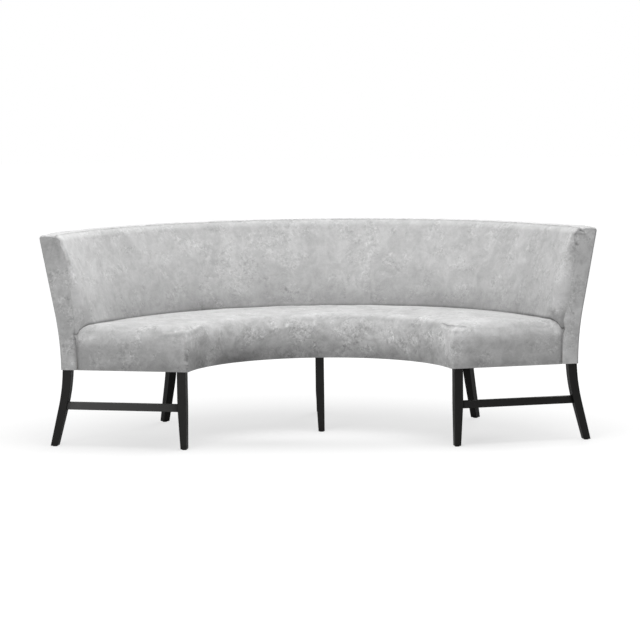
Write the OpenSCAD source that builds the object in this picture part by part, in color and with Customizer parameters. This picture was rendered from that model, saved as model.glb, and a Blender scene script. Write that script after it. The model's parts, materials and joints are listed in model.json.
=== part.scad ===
// Curved upholstered banquette bench: five sawn timber ribs joined by curved rails, straps across
// the seat, shaped foam and fitted covers. A place in plan is a radius from the centre of the curve
// and an angle from the middle of the bench. The origin is on the floor, at the middle of the box.

/* [Overall] */
// Radius of the front face of the seat, measured over the fabric
seat_front_r = 515; // [480:5:560]
// Radius of the outside back at its lower edge, measured over the fabric
back_base_r = 1020; // [990:5:1060]
// Angle from the middle of the bench to each end, in degrees
half_angle = 76.5; // [66:0.5:84]
// Angle from the middle of the bench to the ribs between the middle and the ends, in degrees
mid_angle = 37.2; // [32:0.2:42]
// Height to the top of the back
overall_h = 815; // [780:5:860]
// Height of the lower edge of the upholstery
apron_z = 300; // [285:1:315]

/* [Seat] */
// Height of the seat where it meets the back
seat_edge_z = 470; // [460:1:485]
// Extra height of the seat's crown
seat_crown = 8; // [3:0.5:14]
// Radius of the rolled edges of the seat
seat_roll = 50; // [40:1:56]
// How far the foam swells past the timber under it
seat_bulge = 2.5; // [0:0.5:5]
// Width of the back's end face below the seat
back_foot_d = 65; // [58:1:72]

/* [Back] */
// Radius of the outside back's lean
back_bend_r = 1200; // [1000:10:1500]
// Lean of the outside back above its bend, in degrees
back_lean = 10.8; // [9:0.1:12]
// Lean of the inside back, in degrees
lumbar_lean = 16.6; // [15.5:0.1:17.4]
// Radius of the inside back's top roll
top_roll = 30; // [24:1:36]
// Fall from the top of the back to its inner seam
seam_drop = 3; // [1.5:0.5:5]
// Width of the top band's slope beside the seam
seam_rise_w = 18; // [10:1:24]
// Radius of the back's outer top edge
top_edge_r = 6; // [4:0.5:8]
// Length over which the inside back rounds off towards each end
end_round = 50; // [40:1:60]
// How far the inside back is drawn in at its lower end corners
end_draw = 60; // [50:1:66]
// Swell of the inside back between seat and top
back_crown = 4; // [0:0.5:8]

/* [Covers and boards] */
// Thickness of the fabric with its lining
cover_t = 2.5; // [1.5:0.1:3]
// Gap between a cover and what it lies on
cover_gap = 0.3; // [0.2:0.05:0.5]
// Gap where the seat and the inside back press together
crevice_gap = 1.5; // [1.2:0.1:2]
// Thickness of the outside back board
board_t = 2; // [1.5:0.1:3]
// Thickness of the bendy plywood under the inside back
panel_t = 5; // [4:0.5:7]
// Thickness of the dust cover
dust_t = 1; // [0.5:0.1:1.5]

/* [Timber] */
// Side of a leg's square upper part
leg_w = 34; // [28:1:36]
// Width of a front leg at the foot
front_foot_w = 25; // [20:0.5:28]
// How far a front leg stands back below the rails, so that the padded edge hangs over it
front_leg_step = 8; // [4:1:12]
// Height at which the legs start to taper
taper_z = 165; // [150:1:185]
// Depth of a rear leg, front to back, under the seat
rear_leg_d = 35; // [32:1:38]
// Depth of a rear leg at the foot
rear_foot_d = 28; // [25:1:30]
// Width of a rear leg at the foot
rear_foot_w = 28; // [26:0.5:30]
// Height at which the rear legs start to sweep back
sweep_z = 320; // [316:1:330]
// Radius of the rear legs' sweep
sweep_r = 700; // [600:10:800]
// Splay of the rear legs below the sweep, in degrees
leg_splay = 14; // [11:0.2:15]
// How far the legs stand in from the fabric
leg_setback = 3; // [2.8:0.1:5]
// Thickness of the rails
rail_t = 25; // [20:1:28]
// Height of the seat rails
seat_rail_h = 89; // [80:1:92]
// How far the rails' lower edges stand above the covers' lower edges
rail_lift = 3; // [2:0.5:5]
// How far the radial rails' tops stand below the other rails, so that the straps can give
strap_drop = 14; // [10:1:20]
// Height of the lower back rail
back_rail_h = 45; // [36:1:50]
// Height of the gap for the fabric between the rear seat rail and the lower back rail
tuck_gap = 38; // [30:1:44]
// Height of the top rail
top_rail_h = 30; // [24:1:36]
// Space for the wadding above the top rail
top_pad = 12; // [10:1:16]
// Length of the tenons
tenon_l = 11; // [8:0.5:13]
// Shoulder on each side of a tenon
tenon_shoulder = 7; // [5:0.5:8]
// Clearance round a tenon or a pin
fit = 0.3; // [0.2:0.05:0.4]
// Cut corner round the foot of each leg
foot_chamfer = 1.5; // [0.5:0.5:3]

/* [Stretchers] */
// Height of the stretchers' lower edge
stretcher_z = 145; // [130:1:170]
// Height of a stretcher
stretcher_h = 29; // [24:1:34]
// Thickness of a stretcher
stretcher_t = 20; // [16:1:24]
// Shoulder on each side of a stretcher's tenon
stretcher_shoulder = 5; // [3:0.5:6]

/* [Fittings] */
// Reach of a corner block along each rail
block_l = 72; // [60:1:90]
// Height of a corner block
block_h = 55; // [40:1:70]
// Diameter of a block screw's shank
screw_d = 4.5; // [4:0.1:5.5]
// Diameter of a block screw's head
screw_head_d = 9; // [8:0.1:10.5]
// Thickness of a block screw's head
screw_head_t = 3; // [2:0.1:4]
// Length of a block screw under its head
screw_l = 36; // [30:1:40]
// Timber left under a screw's head
screw_seat = 18; // [14:1:22]
// Width of a seat strap
strap_w = 50; // [40:1:60]
// Thickness of a seat strap
strap_t = 2.2; // [1.5:0.1:2.5]
// How far a strap's ends stop inside the rails' outer faces
strap_inset = 5; // [3:0.5:8]
// Seat straps in each of the four bays
straps_per_bay = 4; // [3:1:5]
// Diameter of a glide
glide_d = 18; // [15:0.5:20]
// Height of a glide
glide_h = 2.5; // [2:0.5:4]
// Diameter of a glide's pin
pin_d = 3; // [2:0.1:4]
// Length of a glide's pin
pin_l = 14; // [10:1:20]

/* [Hidden] */
$fn = 144;

// Overrun of a cut past the face that it leaves
over = 5;
// Reach of a cut that has to clear the whole part
reach = 4 * back_base_r;
// Angle swept by the cut for a rail's tenons, past the middle of a rib
mortise_sweep = 4;

// Heights of the frame
rail_z = apron_z + rail_lift;
rail_top_z = rail_z + seat_rail_h;
back_rail_z = rail_top_z + tuck_gap;
top_rail_top_z = overall_h - seam_drop - top_pad;
top_rail_z = top_rail_top_z - top_rail_h;
cross_top_z = rail_top_z - strap_drop;

// Fabric and gap together: where the frame starts behind a cover
skin = cover_t + cover_gap;
// The same with the outside back board
board_skin = skin + board_t + fit;
seat_rear_r = back_base_r - back_foot_d;
crevice_r = seat_rear_r - seat_roll;
roll_z = seat_edge_z - seat_roll;
frame_front_r = seat_front_r + skin;
frame_rear_r = back_base_r - board_skin;
leg_rear_r = back_base_r - leg_setback;
front_leg_back_r = frame_front_r + front_leg_step + leg_w;
post_front_r = leg_rear_r - rear_leg_d;
// Distance of the end legs' middle from the end plane
end_leg_t = skin + leg_w / 2;

// Radius of the outside back at a height: upright at the apron, then an arc, then a straight lean
bend_top_z = apron_z + back_bend_r * sin(back_lean);
function arc_out(r, h) = r - sqrt(r * r - h * h);
function back_r(z) = z <= apron_z ? back_base_r
    : z <= bend_top_z ? back_base_r + arc_out(back_bend_r, z - apron_z)
    : back_base_r + arc_out(back_bend_r, bend_top_z - apron_z) + (z - bend_top_z) * tan(back_lean);

// Rear face of a rear leg below the seat: upright, then an arc, then a straight splay
sweep_low_z = sweep_z - sweep_r * sin(leg_splay);
function leg_out(z) = z >= sweep_low_z ? leg_rear_r + arc_out(sweep_r, sweep_z - z)
    : leg_rear_r + arc_out(sweep_r, sweep_z - sweep_low_z) + (sweep_low_z - z) * tan(leg_splay);
function leg_depth(z) = rear_foot_d + (rear_leg_d - rear_foot_d) * z / rail_z;

// Front face of the back posts: upright beside the seat rails, then parallel to the outside back
post_bend_z = rail_top_z;
post_top_d = rear_leg_d - leg_w / 8;
post_top_r = back_r(top_rail_top_z) - board_skin - post_top_d;
post_slope = (post_top_r - post_front_r) / (top_rail_top_z - post_bend_z);
function post_front(z) = post_front_r + max(0, z - post_bend_z) * post_slope;

// How far a flat face of half width w falls inside radius r
function chord_drop(w, r) = r - sqrt(r * r - w * w);

// Top roll of the inside back, tangent to its straight face
roll_c_z = overall_h - seam_drop - top_roll;
function face_r(z) = crevice_r + (z - seat_edge_z) * tan(lumbar_lean);
roll_start_z = roll_c_z + top_roll * sin(lumbar_lean);
roll_c_r = face_r(roll_start_z) + top_roll * cos(lumbar_lean);
back_top_r = back_r(overall_h);

// Points of a shape in radius and height: a band that follows the outside back between two offsets
band_steps = 7;
function band_z(z0, z1) = [for (i = [0 : band_steps]) z0 + (z1 - z0) * i / band_steps];
function back_band(in0, in1, z0, z1) = concat(
    [for (z = band_z(z0, z1)) [back_r(z) - in0, z]],
    [for (z = band_z(z1, z0)) [back_r(z) - in1, z]]);

// Turns what follows to an angle from the middle of the bench, with +Y outwards
module at_angle(a) {
    rotate([0, 0, -a]) children();
}

// Frame of one end: X is the distance in from the end plane, +Y is outwards
module in_end(side) {
    at_angle(side * half_angle)
        if (side > 0) mirror([1, 0, 0]) children();
        else children();
}

// Revolves a shape given in radius and height between two angles
module arc(a0, a1) {
    rotate([0, 0, 90 - a1]) rotate_extrude(angle = a1 - a0) children();
}

// Places the whole part with the origin under the middle of its box
module placed() {
    translate([0, -(back_top_r + seat_front_r * cos(half_angle)) / 2, 0]) children();
}

// Ribs are numbered from the left end, -2, to the right end, 2
function rib_angle(k) = abs(k) == 2 ? sign(k) * half_angle : sign(k) * mid_angle;

// Frame of a rib: X is across the leg from its middle, and inwards at the ends
module at_rib(k) {
    if (abs(k) == 2) in_end(sign(k)) translate([end_leg_t, 0, 0]) children();
    else at_angle(rib_angle(k)) mirror([1, 0, 0]) children();
}

// Space that a rib's leg takes across the rails, widened or narrowed on each side by grow
module rib_zone(k, grow) {
    out = abs(k) == 2 ? reach / 2 : leg_w / 2 + grow;
    at_rib(k) translate([-out, 0, 0]) cube([out + leg_w / 2 + grow, reach, reach]);
}

// A curved rail between two ribs: the first shape is its section, the second its tenons' section
module curved_rail(ka, kb) {
    difference() {
        arc(rib_angle(ka), rib_angle(kb)) children(0);
        rib_zone(ka, 0);
        rib_zone(kb, 0);
    }
    difference() {
        arc(rib_angle(ka), rib_angle(kb)) children(1);
        rib_zone(ka, -tenon_l);
        rib_zone(kb, -tenon_l);
    }
}

// The mortises that the tenons of curved rails need in rib k
module curved_mortise(k) {
    from = k == -2 ? -half_angle : rib_angle(k) - mortise_sweep;
    to = k == 2 ? half_angle : rib_angle(k) + mortise_sweep;
    difference() {
        arc(from, to) children();
        rib_zone(k, -tenon_l - fit);
    }
}

// A box in radius and height
module section_box(r0, z0, t, h) {
    translate([r0, z0]) square([t, h]);
}

// Sections of the curved rails, drawn in or out by grow for tenons and mortises
module front_rail_section(grow) {
    section_box(frame_front_r - grow, rail_z - grow, rail_t + 2 * grow, seat_rail_h + 2 * grow);
}
module rear_rail_section(grow) {
    section_box(frame_rear_r - rail_t - grow, rail_z - grow,
        rail_t + 2 * grow, seat_rail_h + 2 * grow);
}
module back_rail_section(grow) {
    z0 = back_rail_z - grow;
    z1 = back_rail_z + back_rail_h + grow;
    polygon([[post_front(z0) - grow, z0], [post_front(z0) + rail_t + grow, z0],
        [post_front(z1) + rail_t + grow, z1], [post_front(z1) - grow, z1]]);
}
module top_rail_section() {
    z0 = top_rail_z;
    z1 = top_rail_top_z;
    polygon([[post_front(z0), z0], [back_r(z0) - board_skin, z0],
        [back_r(z1) - board_skin, z1], [post_front(z1), z1]]);
}

// Section of a radial rail: width, foot and top, drawn in or out by grow
module radial_box(y0, y1, t, z0, z1, grow) {
    translate([-t / 2 - grow, y0, z0 - grow]) cube([t + 2 * grow, y1 - y0, z1 - z0 + 2 * grow]);
}

// Outline of a straight leg seen square to a tapered face. Below the rails it stands back by a step
function taper_points(step) = concat([
    [step + foot_chamfer, glide_h],
    [step + front_foot_w - foot_chamfer, glide_h],
    [step + front_foot_w, glide_h + foot_chamfer],
    [step + leg_w, taper_z], [step + leg_w, rail_top_z], [0, rail_top_z]],
    step > 0 ? [[0, rail_z], [step, rail_z]] : [],
    [[step, glide_h + foot_chamfer]]);

// Front leg: square above, tapered on its rear face and on its inner side
module front_leg_blank() {
    intersection() {
        translate([-leg_w / 2, front_leg_back_r + over, 0]) rotate([90, 0, 0])
            linear_extrude(front_leg_step + leg_w + 2 * over) polygon(taper_points(0));
        translate([-leg_w / 2 - over, frame_front_r, 0]) rotate([90, 0, 90])
            linear_extrude(leg_w + 2 * over) polygon(taper_points(front_leg_step));
    }
}

// Side view of a rear leg and back post, sawn in one piece
leg_steps = 8;
function rear_leg_points(drop) = concat(
    [[leg_out(glide_h) - foot_chamfer, glide_h], [leg_out(glide_h), glide_h + foot_chamfer]],
    [for (i = [0 : leg_steps]) let (z = sweep_low_z + (rail_z - sweep_low_z) * i / leg_steps)
        [leg_out(z), z]],
    [for (z = band_z(rail_z, top_rail_z)) [back_r(z) - board_skin - drop, z]],
    [[post_front(top_rail_z), top_rail_z], [post_front_r, post_bend_z]],
    [for (i = [leg_steps : -1 : 0]) let (z = sweep_low_z + (rail_z - sweep_low_z) * i / leg_steps)
        [leg_out(z) - leg_depth(z), z]],
    [[leg_out(glide_h) - leg_depth(glide_h), glide_h + foot_chamfer],
        [leg_out(glide_h) - leg_depth(glide_h) + foot_chamfer, glide_h]]);

module rear_leg_blank(drop) {
    foot = rear_foot_w / 2;
    intersection() {
        translate([-leg_w, 0, 0]) rotate([90, 0, 90])
            linear_extrude(2 * leg_w) polygon(rear_leg_points(drop));
        translate([0, back_top_r + over, 0]) rotate([90, 0, 0])
            linear_extrude(back_top_r - seat_front_r) polygon([
                [-foot + foot_chamfer, glide_h], [foot - foot_chamfer, glide_h],
                [foot, glide_h + foot_chamfer], [leg_w / 2, taper_z],
                [leg_w / 2, top_rail_z], [-leg_w / 2, top_rail_z],
                [-leg_w / 2, taper_z], [-foot, glide_h + foot_chamfer]]);
    }
}

// Stub on top of each post that enters the top rail
stub_w = leg_w - 2 * tenon_shoulder;
stub_d = post_top_d - 2 * tenon_shoulder;
module post_stub(grow) {
    y = (post_front(top_rail_z) + back_r(top_rail_z) - board_skin) / 2;
    translate([-stub_w / 2 - grow, y - stub_d / 2 - grow, top_rail_z - over])
        cube([stub_w + 2 * grow, stub_d + 2 * grow, over + tenon_l + grow]);
}

// Places of the glides' pins in a rib's frame
function front_pin_x() = -leg_w / 2 + front_foot_w / 2;
function front_pin_y() = frame_front_r + front_leg_step + front_foot_w / 2;
function rear_pin_y() = leg_out(glide_h) - leg_depth(glide_h) / 2;

// Depth of a cross rail's stub in a front rail
stub_l = rail_t / 3;

module pin_hole(x, y) {
    translate([x, y, glide_h - over]) cylinder(d = pin_d + fit, h = over + pin_l + fit);
}

module glide(x, y) {
    translate([x, y, 0]) cylinder(d = glide_d, h = glide_h);
    translate([x, y, 0]) cylinder(d = pin_d, h = glide_h + pin_l);
}

// Stretcher between a front leg and a rear leg, with shoulders cut to both legs
module stretcher_tenons(grow) {
    z0 = stretcher_z + stretcher_shoulder;
    z1 = stretcher_z + stretcher_h - stretcher_shoulder;
    y0 = front_leg_back_r - tenon_l - grow;
    y1 = leg_out(stretcher_z + stretcher_h / 2) - leg_depth(stretcher_z) + tenon_l + grow;
    radial_box(y0, y1, stretcher_t - 2 * stretcher_shoulder, z0, z1, grow);
}

module stretcher(k) {
    color("#1d1b1a") placed() at_rib(k) {
        difference() {
            radial_box(front_leg_back_r - leg_w / 2, post_front_r + leg_w, stretcher_t,
                stretcher_z, stretcher_z + stretcher_h, 0);
            front_leg_blank();
            rear_leg_blank(0);
        }
        stretcher_tenons(0);
    }
}

// Seat-level radial rail of rib k, from its front piece to its post
function radial_top(k) = abs(k) == 2 ? rail_top_z : cross_top_z;
// The end rails lie flush with the legs' outer faces, and the others in the middle of their rib
function radial_shift(k) = abs(k) == 2 ? -(leg_w - rail_t) / 2 : 0;
function radial_start(k) = abs(k) == 1 ? frame_front_r + rail_t : front_leg_back_r;
module radial_tenons(k, grow) {
    front_l = abs(k) == 1 ? stub_l : tenon_l;
    translate([radial_shift(k), 0, 0])
        radial_box(radial_start(k) - front_l - grow, post_front_r + tenon_l + grow,
            rail_t - 2 * tenon_shoulder, rail_z + 2 * tenon_shoulder,
            radial_top(k) - 2 * tenon_shoulder, grow);
}

module radial_rail(k) {
    color("#c9a877") placed() difference() {
        union() {
            difference() {
                at_rib(k) translate([radial_shift(k), 0, 0])
                    radial_box(radial_start(k) - (abs(k) == 1 ? over : 0), post_front_r,
                        rail_t, rail_z, radial_top(k), 0);
                if (abs(k) == 1) cylinder(r = frame_front_r + rail_t, h = reach);
            }
            at_rib(k) radial_tenons(k, 0);
        }
        if (abs(k) == 2) block_screw_holes(sign(k));
    }
}

module front_leg(k) {
    color("#1d1b1a") placed() difference() {
        at_rib(k) front_leg_blank();
        curved_mortise(k) front_rail_section(fit - tenon_shoulder);
        at_rib(k) {
            radial_tenons(k, fit);
            stretcher_tenons(fit);
            pin_hole(front_pin_x(), front_pin_y());
        }
    }
}

module rear_leg(k) {
    half_w = abs(k) == 2 ? leg_w + skin : leg_w / 2;
    color("#1d1b1a") placed() {
        difference() {
            at_rib(k) {
                rear_leg_blank(chord_drop(half_w, back_base_r));
                post_stub(0);
            }
            curved_mortise(k) rear_rail_section(fit - tenon_shoulder);
            curved_mortise(k) back_rail_section(fit - tenon_shoulder);
            at_rib(k) {
                radial_tenons(k, fit);
                if (abs(k) != 1) stretcher_tenons(fit);
                pin_hole(0, rear_pin_y());
            }
        }
    }
}

module front_rail(side) {
    color("#c9a877") placed() difference() {
        if (side < 0) curved_rail(-2, 0) {
            front_rail_section(0);
            front_rail_section(-tenon_shoulder);
        } else curved_rail(0, 2) {
            front_rail_section(0);
            front_rail_section(-tenon_shoulder);
        }
        at_rib(side) radial_tenons(side, fit);
        block_screw_holes(side);
    }
}

module rear_rail(ka, kb) {
    color("#c9a877") placed() difference() {
        curved_rail(ka, kb) {
            rear_rail_section(0);
            rear_rail_section(-tenon_shoulder);
        }
        if (ka == -2) block_screw_holes(-1);
        if (kb == 2) block_screw_holes(1);
    }
}

module back_rail(ka, kb) {
    color("#c9a877") placed() curved_rail(ka, kb) {
        back_rail_section(0);
        back_rail_section(-tenon_shoulder);
    }
}

// Top rail: one sawn piece over each bay, meeting over the posts
module top_rail(ka, kb) {
    color("#c9a877") placed() difference() {
        arc(rib_angle(ka) + (ka == -2 ? 0 : joint_a), rib_angle(kb) - (kb == 2 ? 0 : joint_a))
            top_rail_section();
        for (side = [-1, 1]) end_trim(side, skin);
        at_rib(ka) post_stub(fit);
        at_rib(kb) post_stub(fit);
    }
}
// Half of the gap between two pieces that meet over a post, as an angle
joint_a = asin(fit / back_base_r);

// Everything nearer to an end plane than t
module end_trim(side, t) {
    in_end(side) translate([t - reach, 0, -over]) cube([reach, reach, reach]);
}

// Corner blocks: a triangle of timber in each corner of the seat frame, clear of the leg
block_z = rail_z + (seat_rail_h - block_h) / 2;
end_rail_in_t = skin + rail_t;
module block_outline(front) {
    y_leg = front ? front_leg_back_r + fit : post_front_r - fit;
    y_far = front ? front_leg_back_r + block_l : post_front_r - block_l;
    y_rail = front ? frame_front_r : frame_rear_r;
    x_leg = skin + leg_w + fit;
    polygon([[end_rail_in_t, y_leg], [x_leg, y_leg], [x_leg, y_rail],
        [x_leg + block_l, y_rail], [x_leg + block_l, y_leg],
        [x_leg + block_l / 2, (y_leg + y_far) / 2], [end_rail_in_t, y_far]]);
}

// Screws of one end's blocks, in that end's frame: one into the end rail, one into the curved rail
screw_z = block_z + block_h / 2;
module block_screw_places(front) {
    y_leg = front ? front_leg_back_r : post_front_r;
    dir = front ? 1 : -1;
    x_curved = skin + leg_w + block_l / 2;
    r_curved = front ? frame_front_r + rail_t : frame_rear_r - rail_t;
    translate([end_rail_in_t + screw_seat, y_leg + dir * block_l / 3, screw_z])
        rotate([0, -90, 0]) children();
    translate([x_curved, r_curved - chord_drop(x_curved, r_curved) + dir * screw_seat, screw_z])
        rotate([dir * 90, 0, 0]) children();
}

// Pilot holes for the screws at one end
module block_screw_holes(side) {
    in_end(side) for (front = [true, false])
        block_screw_places(front) cylinder(d = screw_d + fit, h = screw_l + fit);
}

module corner_blocks() {
    color("#b8925e") placed() difference() {
        for (side = [-1, 1]) {
            difference() {
                in_end(side) translate([0, 0, block_z]) linear_extrude(block_h)
                    block_outline(true);
                cylinder(r = frame_front_r + rail_t, h = reach);
            }
            intersection() {
                in_end(side) translate([0, 0, block_z]) linear_extrude(block_h)
                    block_outline(false);
                cylinder(r = frame_rear_r - rail_t, h = reach);
            }
        }
        for (side = [-1, 1]) in_end(side) for (front = [true, false]) block_screw_places(front) {
            cylinder(d = screw_d + 2 * fit, h = screw_l);
            translate([0, 0, -block_l]) cylinder(d = screw_head_d + 2 * fit, h = block_l);
        }
    }
}

module block_screws() {
    color("silver") placed()
        for (side = [-1, 1]) in_end(side) for (front = [true, false]) block_screw_places(front) {
            cylinder(d = screw_d, h = screw_l);
            translate([0, 0, -screw_head_t]) cylinder(d = screw_head_d, h = screw_head_t);
        }
}

module glides() {
    color("#30302f") placed() {
        for (k = [-2 : 2 : 2]) at_rib(k) glide(front_pin_x(), front_pin_y());
        for (k = [-2 : 2]) at_rib(k) glide(0, rear_pin_y());
    }
}

// Straps across the seat, from the front rail to the rear rail, spaced evenly in each bay
function strap_angle(bay, i) = let (a = rib_angle(bay), b = rib_angle(bay + 1))
    a + (b - a) * (i + 1 / 2) / straps_per_bay;
module seat_straps() {
    r0 = frame_front_r + strap_inset;
    r1 = frame_rear_r - strap_inset;
    color("#4a4a48") placed()
        for (bay = [-2 : 1], i = [0 : straps_per_bay - 1]) at_angle(strap_angle(bay, i))
            translate([-strap_w / 2, r0, rail_top_z]) cube([strap_w, r1 - r0, strap_t]);
}

// Closed form made of a grid, rings round it and a second grid, all with the same layout.
// A grid has n by m cells, and its points are listed row by row for each column.
function at_grid(i, j, m) = i * (m + 1) + j;
function edge_loop(n, m) = concat(
    [for (i = [0 : n]) at_grid(i, 0, m)],
    [for (j = [1 : m]) at_grid(n, j, m)],
    [for (i = [n - 1 : -1 : 0]) at_grid(i, m, m)],
    [for (j = [m - 1 : -1 : 1]) at_grid(0, j, m)]);
function grid_faces(n, m, first, up) = [
    for (i = [0 : n - 1], j = [0 : m - 1], half = [0, 1])
        let (a = first + at_grid(i, j, m), b = first + at_grid(i + 1, j, m),
            c = first + at_grid(i + 1, j + 1, m), d = first + at_grid(i, j + 1, m))
        up ? (half == 0 ? [a, d, c] : [a, c, b]) : (half == 0 ? [a, c, d] : [a, b, c])];
function strip_faces(u, l) = [
    for (p = [0 : len(u) - 1], half = [0, 1]) let (q = (p + 1) % len(u))
        half == 0 ? [u[p], u[q], l[q]] : [u[p], l[q], l[p]]];

module capped_form(n, m, grid_a, rings, grid_b) {
    loop = edge_loop(n, m);
    size = (n + 1) * (m + 1);
    count = len(rings);
    last = size + count * len(loop);
    loops = concat([loop],
        [for (k = [0 : 1 : count - 1]) [for (p = [0 : len(loop) - 1]) size + k * len(loop) + p]],
        [[for (p = loop) last + p]]);
    polyhedron(
        points = concat(grid_a, [for (ring = rings) each ring], grid_b),
        faces = concat(grid_faces(n, m, 0, true),
            [for (k = [0 : count]) each strip_faces(loops[k], loops[k + 1])],
            grid_faces(n, m, last, false)),
        convexity = 6);
}

function polar(r, a, z) = [r * sin(a), r * cos(a), z];

// Seat: columns run from end to end, rows from front to rear. The insets of a point from the
// front, end and rear faces give its place in plan, and the first columns and rows lie close.
seat_n = 30;
seat_m = 7;
corner_pitch = 12;
rear_pitch = 2;
// Share of the pitch by which a corner's point moves in along both sides, to round the corner
corner_share = 1 - sqrt(1 / 2);
seat_betas = [60, 30, 0];

function seat_row_r(j, front, rear) =
    let (r0 = seat_front_r + front, r1 = seat_rear_r - rear)
    j == 0 ? r0 : j == seat_m ? r1
    : r0 + corner_pitch + (r1 - rear_pitch - r0 - corner_pitch) * (j - 1) / (seat_m - 2);
function seat_point(i, j, front, end, rear, z) =
    let (last = i == 0 || i == seat_n,
        nib = last && j == 0 ? corner_share * corner_pitch : 0,
        r = seat_row_r(j, front, rear) + nib,
        a = half_angle - asin((end + (last ? nib : corner_pitch)) / r),
        share = last ? sign(i - 1) : 2 * (i - 1) / (seat_n - 2) - 1)
    polar(r, a * share, z);

// Crown of the seat's top, full in the middle and none at the edges
crown_power = 8;
function crown_at(i, j) =
    let (r0 = seat_row_r(0, seat_roll, seat_roll), r1 = seat_row_r(seat_m, seat_roll, seat_roll),
        depth_share = (seat_row_r(j, seat_roll, seat_roll) - r0) / (r1 - r0))
    seat_crown * (1 - pow(abs(2 * i / seat_n - 1), crown_power))
        * (1 - pow(2 * depth_share - 1, 2));

// Inset of the roll at angle beta from level, for a surface that lies d inside the fabric
function roll_in(beta, d) = seat_roll - (seat_roll - d) * cos(beta);
function seat_top(d) = [for (i = [0 : seat_n], j = [0 : seat_m])
    seat_point(i, j, seat_roll - seat_bulge, seat_roll - seat_bulge, seat_roll,
        seat_edge_z - d + crown_at(i, j))];
// One ring round the seat, whose points along the rear have a height of their own
function seat_ring(front, end, rear, z, rear_z) = [
    for (g = edge_loop(seat_n, seat_m)) let (i = floor(g / (seat_m + 1)), j = g % (seat_m + 1))
        seat_point(i, j, front, end, rear, j == seat_m ? rear_z : z)];
function seat_roll_ring(beta, d) =
    let (a = roll_in(beta, d), z = roll_z + (seat_roll - d) * sin(beta))
    seat_ring(a - seat_bulge, a - seat_bulge, a, z, z);

// Height of the seat cover's rear hem and of the inside back's tuck
hem_z = rail_top_z + 2 * leg_setback;
foam_z = rail_top_z + leg_setback;

module seat_foam() {
    d = skin;
    color("#efe6c8") placed() capped_form(seat_n, seat_m, seat_top(d),
        concat([for (beta = seat_betas) seat_roll_ring(beta, d)]),
        [for (i = [0 : seat_n], j = [0 : seat_m]) seat_point(i, j, d, d, d, foam_z)]);
}

module seat_cover() {
    function layer(d) = concat([for (beta = seat_betas) seat_roll_ring(beta, d)],
        [seat_ring(d, d, d, rail_top_z, (roll_z + hem_z) / 2), seat_ring(d, d, d, apron_z, hem_z)]);
    outer = layer(0);
    inner = layer(cover_t);
    color("#b9b9bb") placed() capped_form(seat_n, seat_m, seat_top(0),
        concat(outer, [for (k = [len(inner) - 1 : -1 : 0]) inner[k]]), seat_top(cover_t));
}

// Inside back: columns run from end to end, and rows from the tuck behind the seat up to the seam
back_n = 32;
end_shares = [0, 0.08, 0.24, 0.52, 1];
end_ts = [for (share = end_shares) skin + (end_round - skin) * share];
under_rows = 4;
face_rows = 6;
roll_rows = 3;
cover_rows = under_rows + face_rows + roll_rows;
foam_rows = cover_rows + 1;
// Least share of the seat's roll that shows at the end plane
least_share = 0.03;
draw_power = 2.5;

// Share of the end's rounding at distance t from the end plane
function end_share(t) = t < end_round ? 1 - sqrt(1 - pow(1 - t / end_round, 2)) : 0;
function under_angle(t) = acos(1 - max(min(t / seat_roll, 1), least_share));
function under_point(t, share, d) =
    let (a = under_angle(t) * share, r = seat_roll + crevice_gap + d)
    [crevice_r + r * cos(a) + d * share, roll_z + r * sin(a)];
function face_draw(z) = end_draw * pow(max(0, (roll_start_z - z) / (roll_start_z - roll_z)), draw_power);
function face_point(t, share, d) =
    let (z0 = under_point(t, 1, d)[1], z1 = roll_c_z + (top_roll - d) * sin(lumbar_lean),
        z = z0 + (z1 - z0) * share, e = end_share(t))
    [face_r(z) + face_draw(z) * e - back_crown * sin(180 * share) * (1 - e) + d / cos(lumbar_lean), z];
function roll_point(share, d) = let (a = lumbar_lean + (90 - lumbar_lean) * share)
    [roll_c_r - (top_roll - d) * cos(a), roll_c_z + (top_roll - d) * sin(a)];
function section_point(t, j, d) =
    j == 0 ? [seat_rear_r + crevice_gap + d, hem_z]
    : j <= under_rows ? under_point(t, (j - 1) / (under_rows - 1), d)
    : j <= under_rows + face_rows ? face_point(t, (j - under_rows) / face_rows, d)
    : j <= cover_rows ? roll_point((j - under_rows - face_rows) / roll_rows, d)
    : [back_r(top_rail_top_z) - board_skin, overall_h - seam_drop - d];

// Distance from the end plane and angle of a column
ends = len(end_ts) - 1;
function column_t(i) = i <= ends ? end_ts[i] : i >= back_n - ends ? end_ts[back_n - i] : end_round;
function column_angle(i, r) =
    i <= ends ? -(half_angle - asin(column_t(i) / r))
    : i >= back_n - ends ? half_angle - asin(column_t(i) / r)
    : (half_angle - asin(end_round / crevice_r)) * (2 * (i - ends) / (back_n - 2 * ends) - 1);
function back_grid(rows, d) = [for (i = [0 : back_n], j = [0 : rows])
    let (p = section_point(column_t(i), j, d)) polar(p[0], column_angle(i, p[0]), p[1])];

// Rear side of the back foam: up the plywood, then over the top rail
function foam_rear_point(j) =
    let (turn = cover_rows - roll_rows, top = top_rail_top_z + 3 * fit,
        z = hem_z + (top - hem_z) * min(j, turn) / turn,
        r0 = post_front(z) - panel_t - 2 * fit, r1 = back_r(top) - board_skin)
    [r0 + (r1 - r0) * max(0, j - turn) / (foam_rows - turn), z];

module back_foam() {
    color("#efe6c8") placed() capped_form(back_n, foam_rows, back_grid(foam_rows, skin), [],
        [for (i = [0 : back_n], j = [0 : foam_rows]) let (p = foam_rear_point(j))
            polar(p[0], column_angle(i, p[0]), p[1])]);
}

module inside_back_cover() {
    color("#b9b9bb") placed() capped_form(back_n, cover_rows, back_grid(cover_rows, 0), [],
        back_grid(cover_rows, cover_t));
}

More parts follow.
